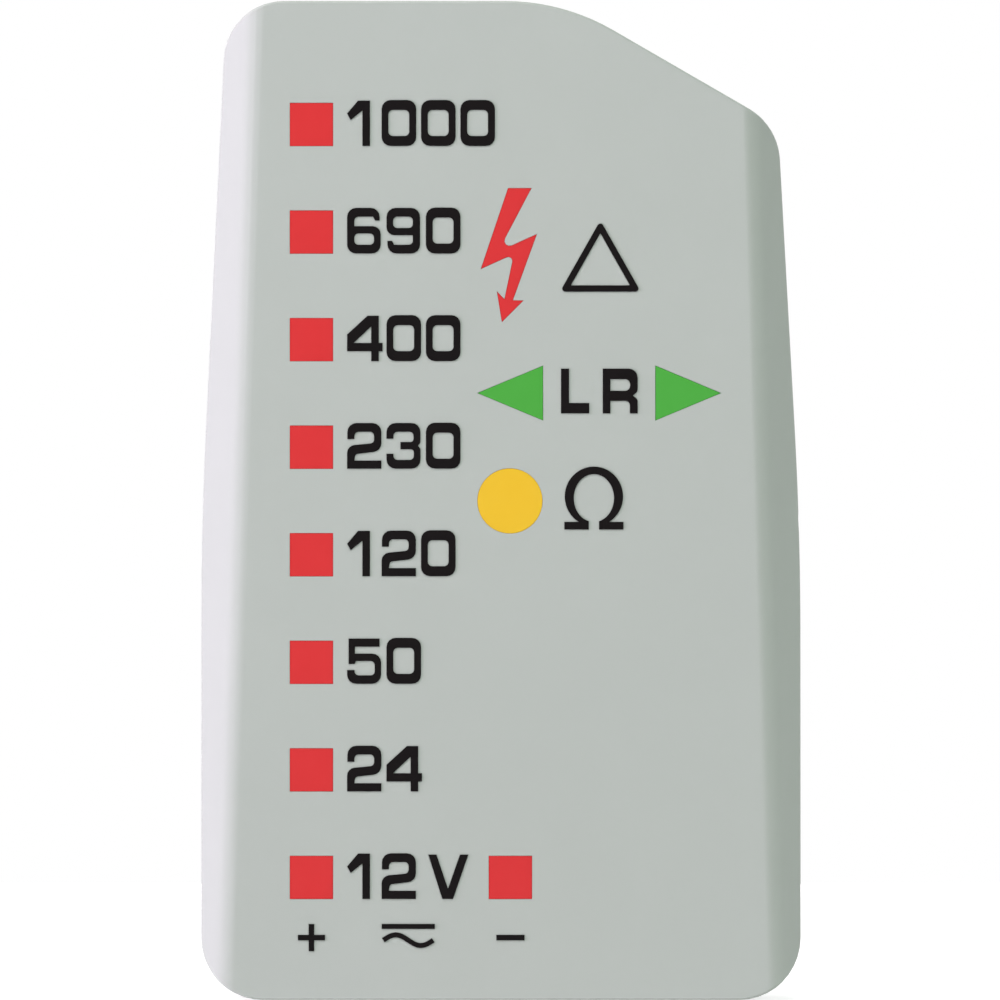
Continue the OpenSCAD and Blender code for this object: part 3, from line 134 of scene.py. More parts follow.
MIDDLE = Vector((0, 0, VIEW_Z * MM))
LAMPS = [             # name, turn to the right, height, distance and size in m, watts, colour
    ("key_lamp", -76, 6, 0.9, 0.45, 8.7, "#fce8ff"),
    ("fill_lamp", 0, 60, 0.9, 0.5, 4.6, "#fffefc"),
    ("back_lamp", 168, 12, 0.9, 0.6, 3.8, "#fff0fd"),
]
NO_GLARE = ("key_lamp", "back_lamp")   # these stand low, so their mirrored glare is left out
for lamp, turn, rise, away, size, watts, tint in LAMPS:
    turn, rise = math.radians(turn), math.radians(rise)
    towards = Vector((math.sin(turn) * math.cos(rise), -math.cos(turn) * math.cos(rise), math.sin(rise)))
    bpy.ops.object.light_add(type="AREA", location=MIDDLE + towards * away,
                             rotation=towards.to_track_quat("Z", "Y").to_euler())
    bpy.context.object.name = lamp
    bpy.context.object.data.shape = "DISK"
    bpy.context.object.data.size = size
    bpy.context.object.data.energy = watts
    bpy.context.object.data.color = linear(tint)[:3]
    bpy.context.object.visible_glossy = lamp not in NO_GLARE

FLOOR_GAP = 0.0001    # keeps the floor just under the object's flat end
FLOOR_SIZE = 1.6      # in m: ends short of the two low lamps, because what lies past them looks grey
bpy.ops.mesh.primitive_plane_add(size=FLOOR_SIZE, location=(0, 0, -FLOOR_GAP))
floor = bpy.context.object
floor.name = "floor"
SHADOW_SHARE = 0.5    # how much of the object's shadow shows on the white floor
FLOOR_GLOW = 1.6      # seen by the camera, metal and glass alone; lights nothing
PAPER, PAPER_ROUGHNESS = "#f4f4f4", 0.9
paper = bpy.data.materials.new("white_paper_floor")
paper.use_nodes = True
tree = paper.node_tree
glow = add(tree, "ShaderNodeMath", operation="MULTIPLY", values={1: 1 - SHADOW_SHARE},
           links={0: looked_at(tree)})
tree.nodes["Principled BSDF"].inputs["Base Color"].default_value = linear(PAPER)
tree.nodes["Principled BSDF"].inputs["Roughness"].default_value = PAPER_ROUGHNESS
white = add(tree, "ShaderNodeEmission", values={"Color": linear(WHITE), "Strength": FLOOR_GLOW})
mixed = add(tree, "ShaderNodeMixShader",
            links={0: glow.outputs[0], 1: tree.nodes["Principled BSDF"].outputs[0], 2: white.outputs[0]})
tree.links.new(mixed.outputs[0], tree.nodes["Material Output"].inputs["Surface"])
floor.data.materials.append(paper)


# Finishes

DRIFT_LAYERS, GLOSS_LAYERS = 2.0, 3.0   # how many finer layers a noise pattern has


def finish(name, colour, roughness, metallic=0.0, ior=1.5, shine=0.5):
    """A new finish: the material, its nodes, its shader and the piece's own coordinates."""
    material = bpy.data.materials.new(name)
    material.use_nodes = True
    tree = material.node_tree
    shader = tree.nodes["Principled BSDF"]
    shader.inputs["Base Color"].default_value = linear(colour)
    shader.inputs["Roughness"].default_value = roughness
    shader.inputs["Metallic"].default_value = metallic
    shader.inputs["IOR"].default_value = ior
    shader.inputs["Specular IOR Level"].default_value = shine
    place = add(tree, "ShaderNodeTexCoord").outputs["Object"]
    return material, tree, shader, place


def clouded(made, dark, light, size):
    """Lets the colour drift between two near shades over size mm."""
    tree, shader, place = made[1:]
    cloud = add(tree, "ShaderNodeTexNoise", values={"Scale": 1 / (size * MM), "Detail": DRIFT_LAYERS},
                links={"Vector": place})
    shade = add(tree, "ShaderNodeMix", data_type="RGBA", links={0: cloud.outputs[0]},
                values={MIX_DARK: linear(dark), MIX_LIGHT: linear(light)})
    tree.links.new(shade.outputs[MIX_RESULT], shader.inputs["Base Color"])


def uneven_gloss(made, low, high, size):
    """Lets the roughness drift between low and high over size mm, as handling and tool marks do."""
    tree, shader, place = made[1:]
    cloud = add(tree, "ShaderNodeTexNoise", values={"Scale": 1 / (size * MM), "Detail": GLOSS_LAYERS},
                links={"Vector": place})
    gloss = add(tree, "ShaderNodeMapRange", values={"To Min": low, "To Max": high},
                links={"Value": cloud.outputs[0]})
    tree.links.new(gloss.outputs[0], shader.inputs["Roughness"])


def grained(made, size, depth, stretch=(1, 1, 1)):
    """Raises a fine grain of size mm and depth mm, stretched along an axis where the tool ran."""
    tree, shader, place = made[1:]
    turned = add(tree, "ShaderNodeMapping", values={"Scale": stretch}, links={"Vector": place})
    grain = add(tree, "ShaderNodeTexNoise", values={"Scale": 1 / (size * MM), "Detail": DRIFT_LAYERS},
                links={"Vector": turned.outputs[0]})
    bump = add(tree, "ShaderNodeBump", values={"Strength": 1.0, "Distance": depth * MM},
               links={"Height": grain.outputs[0]})
    tree.links.new(bump.outputs[0], shader.inputs["Normal"])


def plastic(name, dark, light, low, high, grain=0.3, depth=0.004, ior=1.53, shine=0.3):
    """Moulded, dipped or printed plastic: two near shades, a drifting gloss and a fine grain."""
    made = finish(name, dark, low, ior=ior, shine=shine)
    clouded(made, dark, light, size=9)
    uneven_gloss(made, low, high, size=4)
    grained(made, grain, depth)
    return made[0]


# Light grey ABS from a spark-eroded tool: even colour, satin, a grain that only breaks up the highlights.
# The real grain is near 0.1 mm and is drawn at 0.28 mm, so that it shows.
shell_abs = plastic("light_grey_abs_spark_eroded", "#b9beba", "#bcc1bd", 0.42, 0.5, 0.28, 0.0035)

# Glass-filled nylon and other dark engineering plastics: duller, with a coarser skin. Their grain, and
# that of most finishes below, is finer on the real piece and is drawn coarse enough to show.
black_nylon = plastic("black_glass_filled_nylon", "#18191b", "#1f2023", 0.5, 0.62, 0.35, 0.006)
shield_plastic = plastic("black_light_shield_polycarbonate", "#1d1f21", "#232527", 0.55, 0.65, 0.4, 0.006)
button_nylon = plastic("dark_grey_button_nylon", "#3a3d40", "#404346", 0.42, 0.52, 0.25, 0.006)
white_acetal = plastic("white_acetal_switch_plunger", "#c9cbc8", "#d3d5d2", 0.3, 0.4, 0.3, 0.002, 1.48)
chip_epoxy = plastic("matt_black_mould_compound", "#232325", "#29292b", 0.6, 0.7, 0.12, 0.006)


def tinted(name, dark, light):
    """Tinted polycarbonate light guide, polished face, frosted inside so that it glows evenly."""
    made = finish(name, dark, 0.2, ior=1.58, shine=0.15)
    clouded(made, dark, light, size=3)
    uneven_gloss(made, 0.16, 0.26, size=2)
    grained(made, size=0.5, depth=0.001)
    return made[0]


red_glass = tinted("red_tinted_polycarbonate", "#da3134", "#de3639")
green_glass = tinted("green_tinted_polycarbonate", "#4baa3f", "#50ae45")
yellow_glass = tinted("yellow_tinted_polycarbonate", "#f2c12d", "#f4c635")

# Two-component pad-printing ink: dense, slightly glossy, with the faint pin holes of a wiped plate.
made = finish("black_pad_printing_ink", "#151213", 0.4, shine=0.06)
clouded(made, "#131011", "#191516", size=1.2)
uneven_gloss(made, 0.34, 0.46, size=0.8)
grained(made, size=0.2, depth=0.002)
ink = made[0]

# Silicone rubber: matt, dusty at a close look, so that the seals stay dull beside the plastic.
made = finish("black_silicone_rubber", "#232527", 0.75, ior=1.41)
clouded(made, "#212325", "#2a2c2e", size=2)
uneven_gloss(made, 0.68, 0.82, size=1.5)
grained(made, size=0.15, depth=0.006)
rubber = made[0]

# Red PVC wire insulation: extruded, so its faint lines run along the wire.
made = finish("red_pvc_wire_insulation", "#a8262a", 0.4, ior=1.53)
clouded(made, "#a32428", "#b02c30", size=3)
uneven_gloss(made, 0.35, 0.45, size=2)
grained(made, size=0.2, depth=0.003, stretch=(1, 1, 0.15))
wire_pvc = made[0]


def metal(name, dark, light, low, high, size, depth, stretch):
    """Metal with the marks of its making along one way."""
    made = finish(name, dark, low, metallic=1.0)
    clouded(made, dark, light, size=5)
    uneven_gloss(made, low, high, size=2)
    grained(made, size, depth, stretch)
    return made[0]


# Zinc-plated steel: bright grey, faintly cloudy plating over turned heads.
zinc_steel = metal("zinc_plated_steel", "#a3a6a8", "#b4b7b9", 0.3, 0.42, 0.25, 0.003, (1, 0.3, 1))
# Nickel-plated spring steel of the battery contacts: brighter and drawn along the strip.
nickel_steel = metal("nickel_plated_spring_steel", "#b9b7b0", "#c9c7c0", 0.2, 0.3, 0.2, 0.002, (1, 1, 0.2))
# Drawn steel of the motor can: fine rings round the can from drawing.
drawn_steel = metal("drawn_steel_motor_can", "#a9abad", "#b8babc", 0.25, 0.36, 0.15, 0.002, (0.15, 0.15, 1))
# Turned brass: warm yellow with fine rings and a light tarnish.
turned_brass = metal("turned_brass", "#b98f43", "#cfa759", 0.26, 0.4, 0.18, 0.003, (0.2, 0.2, 1))
# Sintered heavy metal of the eccentric weight: dull and sandy.
sintered = metal("sintered_tungsten_alloy", "#66635e", "#75726c", 0.5, 0.62, 0.2, 0.01, (1, 1, 1))
# Tinned terminals, leads and caps: pale grey, half dull, a little lumpy where the tin has set.
tin = metal("tinned_copper", "#b8b8b6", "#c8c8c6", 0.3, 0.45, 0.3, 0.006, (1, 1, 1))

# Solder mask over copper: the tracks under it show as paler, raised lines about 0.5 mm wide.
TRACK_STEP, TRACK_RISE = 2.5, 0.03      # how far apart the tracks are and how high they stand, in mm
TRACK_HALF, TRACK_EDGE = 0.06, 0.1      # shares of that step, where a track's slope ends and begins
made = finish("green_solder_mask_over_copper", "#1c5a38", 0.3)
tree, shader, place = made[1:]
tracks = add(tree, "ShaderNodeTexVoronoi", values={"Scale": 1 / (TRACK_STEP * MM)}, links={"Vector": place},
             distance="MANHATTAN", feature="DISTANCE_TO_EDGE")
edge = add(tree, "ShaderNodeMapRange", links={"Value": tracks.outputs[0]},
           values={"From Min": TRACK_HALF, "From Max": TRACK_EDGE, "To Min": 1.0, "To Max": 0.0})
mask = add(tree, "ShaderNodeMix", data_type="RGBA", links={0: edge.outputs[0]},
           values={MIX_DARK: linear("#17492e"), MIX_LIGHT: linear("#26704a")})
tree.links.new(mask.outputs[MIX_RESULT], shader.inputs["Base Color"])
raised = add(tree, "ShaderNodeBump", values={"Distance": TRACK_RISE * MM}, links={"Height": edge.outputs[0]})
tree.links.new(raised.outputs[0], shader.inputs["Normal"])
uneven_gloss(made, 0.25, 0.36, size=2)
solder_mask = made[0]

# Cut edge of the glass-epoxy board: pale yellow-green, woven layers as fine stripes.
made = finish("glass_epoxy_cut_edge", "#b3a96c", 0.7)
clouded(made, "#a89e61", "#c2b87d", size=0.4)
uneven_gloss(made, 0.6, 0.8, size=1)
grained(made, size=0.25, depth=0.01, stretch=(0.3, 1, 0.3))
laminate = made[0]

# Lamp package: a satin white cup, and glossy clear resin that the phosphor under it turns pale yellow.
white_epoxy = plastic("white_lamp_package", "#e6e2d8", "#ece8df", 0.35, 0.45, 0.2, 0.002)
made = finish("clear_lamp_resin_over_phosphor", "#e9dc94", 0.12, ior=1.54)
clouded(made, "#e3d58a", "#efe3a2", size=0.5)
uneven_gloss(made, 0.08, 0.16, size=0.6)
grained(made, size=0.3, depth=0.001)
lamp_resin = made[0]

# Resistor lacquer and the colour rings printed on it: smooth, half glossy, each in one plain colour.
blue_lacquer = plastic("blue_resistor_lacquer", "#3b6896", "#4273a3", 0.3, 0.4, 0.3, 0.004)
brown_ring = plastic("brown_resistor_ring", "#5a3420", "#633a25", 0.35, 0.45, 0.3, 0.003)
red_ring = plastic("red_resistor_ring", "#9c2a26", "#a8312c", 0.35, 0.45, 0.3, 0.003)
gold_ring = plastic("gold_resistor_ring", "#a9853c", "#b69148", 0.3, 0.4, 0.3, 0.003)

# Epoxy-dipped ceramic disc: ochre, glossy, a little lumpy from dipping.
ochre_epoxy = plastic("ochre_dipped_ceramic", "#bf872b", "#cc9235", 0.25, 0.35, 0.9, 0.02)

# Battery sleeve: thin printed film shrunk tight over the can, glossy, with faint waves.
dark_sleeve = plastic("graphite_battery_sleeve", "#32363c", "#383c43", 0.24, 0.32, 1.2, 0.003)
light_sleeve = plastic("silver_battery_sleeve", "#a4a8ab", "#afb3b6", 0.24, 0.32, 1.2, 0.003)


# Ways of working

SMOOTH = math.radians(38)   # faces that meet at less than this shade as one
SHARP = math.radians(30)    # edges that turn more than this are broken
ROOM_SHARE = 0.45           # how far a rounding may reach along the edges that it meets
SHORTEST = 2.5              # crowded edges shorter than this many roundings are drawn together first
CLEARING_TURNS = 4          # how often that is done
SAME_POINT = 0.0005         # corners nearer than this are one, in mm
FLAT = math.radians(0.05)   # faces that meet at less than this are one flat face
ALONG = 0.99                # how nearly a face must look along an axis to be an end face
MAINLY = 0.5                # how nearly it must do so to belong to that side of a board
END_DEPTH = 0.01            # how deep an end face may lie behind the furthest point, in mm


def only(piece):
    """Makes piece the one selected and active object."""
    bpy.ops.object.select_all(action="DESELECT")
    piece.select_set(True)
    bpy.context.view_layer.objects.active = piece


def editing(piece):
    """Opens piece in edit mode with nothing selected."""
    only(piece)
    bpy.ops.object.mode_set(mode="EDIT")
    bpy.ops.mesh.select_mode(type="FACE")
    bpy.ops.mesh.select_all(action="DESELECT")


def done():
    """Closes edit mode."""
    bpy.ops.object.mode_set(mode="OBJECT")


def pick_faces(piece, wanted):
    """Selects the faces of the piece being edited for which wanted(middle in mm, normal) holds."""
    mesh = bmesh.from_edit_mesh(piece.data)
    for face in mesh.faces:
        face.select_set(bool(wanted(face.calc_center_median() / MM, face.normal)))
    mesh.select_flush_mode()
    bmesh.update_edit_mesh(piece.data)


def paint(piece, materials, choose):
    """Gives each face the material that choose(middle in mm, normal) numbers."""
    piece.data.materials.clear()
    for material in materials:
        piece.data.materials.append(material)
    for face in piece.data.polygons:
        face.material_index = choose(face.center / MM, face.normal)


def shape(piece, kind, **settings):
    """Adds a modifier with its settings and applies it."""
    only(piece)
    modifier = piece.modifiers.new(kind.lower(), kind)
    for key, value in settings.items():
        setattr(modifier, key, value)
    bpy.ops.object.modifier_apply(modifier=modifier.name)


def settle(piece):
    """Moves the piece's place and turn into its mesh."""
    only(piece)
    bpy.ops.object.transform_apply(location=True, rotation=True, scale=True)


def sharp_edges(mesh, where):
    """The edges of a bmesh that turn enough to be broken, each with its share of the rounding."""
    shares = {}
    for edge in mesh.edges:
        if len(edge.link_faces) == 2 and edge.calc_face_angle(0) > SHARP:
            middle = (edge.verts[0].co + edge.verts[1].co) / 2 / MM
            out = (edge.link_faces[0].normal + edge.link_faces[1].normal).normalized()
            share = where(middle, out) if where else 1.0
            if share > 0:
                shares[edge] = share
    return shares


def crowded(edge, broken, reach):
    """Whether a rounding that reaches so far would run past edge, because a soft edge slants from it."""
    for vert in edge.verts:
        along = edge.other_vert(vert).co - vert.co
        for soft in vert.link_edges:
            turn = along.angle(soft.other_vert(vert).co - vert.co, 0)
            if soft not in broken and reach > along.length * abs(math.tan(turn)) * ROOM_SHARE:
                return True
    return False


def apart(edges):
    """Those of the edges that share no corner with one before them."""
    chosen, taken_up = [], set()
    for edge in edges:
        if taken_up.isdisjoint(edge.verts):
            chosen.append(edge)
            taken_up.update(edge.verts)
    return chosen


def break_edges(piece, radius, segments=2, where=None):
    """Rounds the sharp edges by radius mm, or each by its share of it, where(middle in mm, normal)."""
    mesh = bmesh.new()
    mesh.from_mesh(piece.data)
    for turn in range(CLEARING_TURNS):
        broken = sharp_edges(mesh, where)
        short = [edge for edge, share in broken.items()
                 if edge.calc_length() < SHORTEST * radius * share * MM
                 and crowded(edge, broken, radius * share * MM)]
        bmesh.ops.collapse(mesh, edges=apart(short), uvs=False)
    weights = mesh.edges.layers.float.new("bevel_weight_edge")
    for edge, share in sharp_edges(mesh, where).items():
        edge[weights] = share
    mesh.to_mesh(piece.data)
    mesh.free()
    shape(piece, "BEVEL", limit_method="WEIGHT", width=radius * MM, segments=segments,
          use_clamp_overlap=False, miter_outer="MITER_ARC")


def smooth(piece):
    """Shades the piece smooth over its soft edges, with flat faces kept flat."""
    only(piece)
    bpy.ops.object.shade_smooth_by_angle(angle=SMOOTH)
    shape(piece, "WEIGHTED_NORMAL", keep_sharp=True)


def fit(piece, node, slot, *nodes):
    """Lets the finished piece stand for its CAD nodes and ride on their body."""
    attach(piece, BODY[node])
    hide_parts(node, *nodes)
    return piece


def taken(node, name):
    """A merged copy of a CAD node's mesh, with its flat faces whole."""
    piece = bpy.data.objects.new(name, NODES[node].data.copy())
    bpy.context.scene.collection.objects.link(piece)
    piece.data.materials.clear()
    editing(piece)
    bpy.ops.mesh.customdata_custom_splitnormals_clear()
    bpy.ops.mesh.select_all(action="SELECT")
    bpy.ops.mesh.remove_doubles(threshold=SAME_POINT * MM)
    bpy.ops.mesh.dissolve_limited(angle_limit=FLAT)
    done()
    return piece


def dressed(node, name, slot, material, radius, segments=2, where=None):
    """A CAD node's form with broken edges and a finish."""
    piece = taken(node, name)
    break_edges(piece, radius, segments, where)
    piece.data.materials.append(material)
    smooth(piece)
    return fit(piece, node, slot)


def ended(piece, towards, steps):
    """Insets the end face that looks towards a direction, and pushes it, by each (inset, push) in mm."""
    editing(piece)
    reach = max((v.co / MM).dot(towards) for v in piece.data.vertices)
    pick_faces(piece, lambda middle, normal:
               normal.dot(towards) > ALONG and middle.dot(towards) > reach - END_DEPTH)
    for inset, push in steps:
        bpy.ops.mesh.inset(thickness=inset * MM, depth=push * MM)
    done()


UP, DOWN = Vector((0, 0, 1)), Vector((0, 0, -1))
BACK, FRONT = Vector((0, 1, 0)), Vector((0, -1, 0))
RIGHT = Vector((1, 0, 0))
WIRE_SIDES, TURN_STEPS = 14, 56       # sides of a spring's wire, and steps in each of its turns
# The turn that lays along an axis what is made upright
TURNED = {"x": (0, math.radians(90), 0), "y": (math.radians(-90), 0, 0), "z": (0, 0, 0)}


def rod(name, radius, start, end, axis, sides=96):
    """A round bar in mm along an axis, from start to end, both points on its middle line."""
    start, end = Vector(start), Vector(end)
    bpy.ops.object.select_all(action="DESELECT")
    bpy.ops.mesh.primitive_cylinder_add(vertices=sides, radius=radius * MM, depth=(end - start).length * MM,
                                        location=(start + end) / 2 * MM, rotation=TURNED[axis])
    piece = bpy.context.object
    piece.name = name
    settle(piece)
    return piece


def brick(name, low, high):
    """A block in mm between two corners."""
    low, high = Vector(low), Vector(high)
    bpy.ops.object.select_all(action="DESELECT")
    bpy.ops.mesh.primitive_cube_add(size=1, location=(low + high) / 2 * MM)
    piece = bpy.context.object
    piece.name = name
    piece.scale = (high - low) * MM
    settle(piece)
    return piece


def joined(name, pieces):
    """Joins several pieces into one object."""
    bpy.ops.object.select_all(action="DESELECT")
    for piece in pieces:
        piece.select_set(True)
    bpy.context.view_layer.objects.active = pieces[0]
    if len(pieces) > 1:
        bpy.ops.object.join()
    pieces[0].name = name
    return pieces[0]


def repeated(name, piece, places):
    """Copies a piece made at the origin to each place, a shift in mm and a turn, and joins the copies."""
    copies = []
    for shift, turn in places:
        twin = bpy.data.objects.new(name, piece.data.copy())
        bpy.context.scene.collection.objects.link(twin)
        twin.location = Vector(shift) * MM
        twin.rotation_euler = turn
        settle(twin)
        copies.append(twin)
    bpy.data.objects.remove(piece)
    return joined(name, copies)


def solids(node):
    """The low and high corners in mm of each separate solid of a CAD node."""
    mesh = bmesh.new()
    mesh.from_mesh(NODES[node].data)
    bmesh.ops.remove_doubles(mesh, verts=mesh.verts, dist=SAME_POINT * MM)
    left, boxes = set(mesh.verts), []
    while left:
        reached, waiting = [], [left.pop()]
        while waiting:
            vert = waiting.pop()
            reached.append(vert.co / MM)
            near = {edge.other_vert(vert) for edge in vert.link_edges} & left
            left -= near
            waiting += near
        boxes.append([Vector([pick(co[i] for co in reached) for i in range(3)]) for pick in (min, max)])
    mesh.free()
    return boxes


def coil(name, radius, wire, length, turns, start, axis):
    """A wound spring in mm along an axis, its wire's middle line starting beside start."""
    bpy.ops.object.select_all(action="DESELECT")
    bpy.ops.mesh.primitive_circle_add(vertices=WIRE_SIDES, radius=wire * MM, location=(radius * MM, 0, 0),
                                      rotation=(math.radians(90), 0, 0))
    piece = bpy.context.object
    piece.name = name
    settle(piece)
    shape(piece, "SCREW", axis="Z", angle=math.tau, iterations=turns, screw_offset=length / turns * MM,
          steps=TURN_STEPS, render_steps=TURN_STEPS)
    editing(piece)
    bpy.ops.mesh.select_all(action="SELECT")
    bpy.ops.mesh.fill_holes(sides=0)
    bpy.ops.mesh.select_all(action="SELECT")
    bpy.ops.mesh.normals_make_consistent(inside=False)
    done()
    piece.rotation_euler = TURNED[axis]
    piece.location = Vector(start) * MM
    settle(piece)
    return piece


# The two shells and the door

FACE, REAR_FACE = FACE_Y / MM, CAD_BOX[1][1] / MM
TOP = CAD_BOX[1][2] / MM
NEAR = 0.3                           # how close to a plane counts as on it, in mm
RIM = 1.6                            # how deep the outside edges lie at the two ends, in mm
SIDE_RIM = 24.0                      # how far from the middle the side edges begin, in mm
SEAM_STEP = (0.25, 0.6)              # where the seam's hidden step lies, from the seam, in mm
SLOPE_START, SLOPE = 6.8, math.tan(math.radians(30))   # the cut top corner: where it starts, its fall
OUTLINE_ROUNDING = 0.25              # the moulded radius round the outline, in mm
FINE, CRISP = 0.5, 0.08              # shares of it that the seam and holes, and the windows, get
OUTWARDS = 0.35                      # how far an edge must look away from the middle to be outside


def outside(middle, out):
    """The share of the rounding for a shell's edge: outline, seam and holes, windows, none inside."""
    top = TOP - max(0, middle.x - SLOPE_START) * SLOPE
    at_end = middle.z < RIM or middle.z > top - RIM
    if abs(middle.y - FACE) < NEAR or abs(middle.y - REAR_FACE) < NEAR:
        return 1.0 if at_end else CRISP if middle.y < 0 else FINE
    if not at_end and abs(middle.x) < SIDE_RIM or SEAM_STEP[0] < abs(middle.y) < SEAM_STEP[1]:
        return 0.0
    if out.dot(Vector((middle.x, 0, middle.z - VIEW_Z)).normalized()) < OUTWARDS:
        return 0.0
    return 1.0 if abs(middle.x) > SIDE_RIM and abs(middle.y) > RIM else FINE


front_shell = dressed("front_cover", "front_shell", "shell", shell_abs, OUTLINE_ROUNDING, 3, outside)
rear_shell = dressed("rear_cover", "rear_shell", "shell", shell_abs, OUTLINE_ROUNDING, 3, outside)
battery_lid = dressed("battery_door", "battery_lid", "shell", shell_abs, 0.15)


# Lights and print on the face

LIGHT_EDGE = 0.03      # the broken edge of a light round its face, in mm

for node, name, slot, material in (
        ("voltage_light_guides", "voltage_lights", "red_light", red_glass),
        ("polarity_light_guide", "polarity_light", "red_light", red_glass),
        ("phase_light_guide", "phase_light", "red_light", red_glass),
        ("left_arrow_light_guide", "left_arrow_light", "green_light", green_glass),
        ("right_arrow_light_guide", "right_arrow_light", "green_light", green_glass),
        ("continuity_light_guide", "continuity_light", "yellow_light", yellow_glass)):
    dressed(node, name, slot, material, LIGHT_EDGE,
            where=lambda middle, out: float(abs(middle.y - FACE) < NEAR))

for node, material in (("printed_scale", ink), ("tip_wire", wire_pvc), ("housing_seal", rubber),
                       ("light_shield", shield_plastic), ("door_gasket", rubber)):
    NODES[node].data.materials.clear()
    NODES[node].data.materials.append(material)


# Plain pieces, each with its edges broken by the last number, in mm

for node, name, slot, material, radius in (
        ("housing_screws", "case_screws", "steel", zinc_steel, 0.15),
        ("door_screw", "coin_screw", "steel", zinc_steel, 0.15),
        ("door_screw_keeper", "screw_clip", "black_plastic", black_nylon, 0.08),
        ("screw_insert", "threaded_insert", "brass", turned_brass, 0.12),
        ("button_membrane", "button_seal", "black_rubber", rubber, 0.1),
        ("switch_body", "button_switch", "black_plastic", black_nylon, 0.25),
        ("switch_plunger", "switch_pin", "white_plastic", white_acetal, 0.2),
        ("motor_can", "motor_drum", "steel", drawn_steel, 0.4),
        ("motor_bracket", "motor_holder", "black_plastic", black_nylon, 0.3),
        ("motor_shaft", "motor_axle", "steel", nickel_steel, 0.15),
        ("eccentric_weight", "shaker_weight", "weight_metal", sintered, 0.2),
        ("battery_contacts", "cell_contacts", "steel", nickel_steel, 0.08),
        ("tip_socket_sleeve", "tip_sleeve", "brass", turned_brass, 0.2),
        ("tip_socket_bush", "tip_bush", "black_plastic", black_nylon, 0.25),
        ("lead_grommet", "inlet_grommet", "black_rubber", rubber, 0.3),
        ("lead_terminal", "lead_clamp", "brass", turned_brass, 0.25),
        ("thermistors", "ceramic_discs", "thermistor_body", ochre_epoxy, 0.7),
        ("buzzer", "beeper", "black_plastic", black_nylon, 0.4),
        ("board_screws", "board_fixings", "steel", zinc_steel, 0.15)):
    dressed(node, name, slot, material, radius)

circuit_board = taken("main_board", "circuit_board")
break_edges(circuit_board, radius=0.05, segments=1)
paint(circuit_board, [solder_mask, laminate], lambda middle, normal: 0 if abs(normal.y) > MAINLY else 1)
smooth(circuit_board)
fit(circuit_board, "main_board", "board")


# The load button at the back, with two finger rings round a shallow dish
low, high = solids("load_button")[0]
KNOB_BASE, KNOB_RIM, KNOB_RADIUS, STEM_RADIUS = 9.8, 1.1, 6.0, 2.1
KNOB_EDGE = [(0.12, 0.2), (0.3, 0.1)]
FINGER_RING = [(0.9, 0), (0.15, -0.25), (0.4, 0), (0.15, 0.25)]
FINGER_DISH = [(0.6, 0), (0.7, -0.1), (0.6, -0.06)]
STEM_TIP = (0.2, 0.2)
rim = (high.x - low.x) / 2
knob_z = (low.z + high.z) / 2
load_knob = rod("load_knob", rim, (0, KNOB_BASE, knob_z), (0, KNOB_BASE + KNOB_RIM, knob_z), "y")
rise = high.y - KNOB_BASE - KNOB_RIM - sum(push for inset, push in KNOB_EDGE)
ended(load_knob, BACK, [(rim - KNOB_RADIUS, 0), (0, rise)] + KNOB_EDGE + FINGER_RING * 2 + FINGER_DISH)
ended(load_knob, FRONT, [(rim - STEM_RADIUS, 0), (0, KNOB_BASE - low.y - STEM_TIP[1]), STEM_TIP])
break_edges(load_knob, radius=0.08)
load_knob.data.materials.append(button_nylon)
smooth(load_knob)
fit(load_knob, "load_button", "button_plastic")

# The coil springs of the button and of the two cells
low, high = solids("button_spring")[0]
BUTTON_WIRE = 0.3
button_coil = coil("button_coil", (high.x - low.x) / 2 - BUTTON_WIRE, BUTTON_WIRE,
                   high.y - low.y - 2 * BUTTON_WIRE, 5, (0, low.y + BUTTON_WIRE, (low.z + high.z) / 2), "y")
button_coil.data.materials.append(nickel_steel)
smooth(button_coil)
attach(button_coil, "housing")
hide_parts("button_spring")
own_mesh(button_coil)

CELL_WIRE = 0.25
coils = [coil("cell_coil", (high.x - low.x) / 2 - CELL_WIRE, CELL_WIRE, high.z - low.z - 2 * CELL_WIRE, 3,
              ((low.x + high.x) / 2, (low.y + high.y) / 2, low.z + CELL_WIRE), "z")
         for low, high in solids("battery_springs")]
cell_coils = joined("cell_coils", coils)
cell_coils.data.materials.append(nickel_steel)
smooth(cell_coils)
fit(cell_coils, "battery_springs", "steel")

# Two AAA cells: a printed sleeve with a pale band at the plus end, over a steel can
low, high = solids("battery_cells")[0]
CAN_RADIUS, NUB_RADIUS, NUB = (high.x - low.x) / 2, 1.9, 1.0
CAN_LENGTH = high.z - low.z - NUB
BARE_END, PALE_BAND, SLEEVE = 0.9, 12.0, 0.08
TILTED = 0.2                          # how much a face of the can's ends looks up or down at least
PLUS_END = [(SLEEVE, 0), (0, 0.35), (0.3, 0.35), (0.4, 0.2), (1.6, 0), (0.15, -0.3), (0.5, 0)]
MINUS_END = [(SLEEVE, 0), (0, 0.35), (0.3, 0.35), (0.5, 0.2), (0.8, -0.15), (1.4, 0), (0.3, 0.1)]
NUB_EDGE = (0.25, 0.2)
cell = rod("cell", CAN_RADIUS, (0, 0, BARE_END), (0, 0, CAN_LENGTH - BARE_END - PALE_BAND), "z")
ended(cell, UP, [(0, PALE_BAND)] + PLUS_END)
reach = sum(push for inset, push in PLUS_END)
spent = sum(inset for inset, push in PLUS_END)
ended(cell, UP, [(CAN_RADIUS - spent - NUB_RADIUS, 0), (0, BARE_END + NUB - reach - NUB_EDGE[1]), NUB_EDGE])
ended(cell, DOWN, MINUS_END)


def cell_finish(middle, normal):
    """Bare steel at the ends and in the crimp, the dark sleeve, the pale band."""
    if abs(normal.z) > TILTED or middle.xy.length < CAN_RADIUS - SLEEVE / 2:
        return 0
    return 2 if middle.z > CAN_LENGTH - BARE_END - PALE_BAND else 1


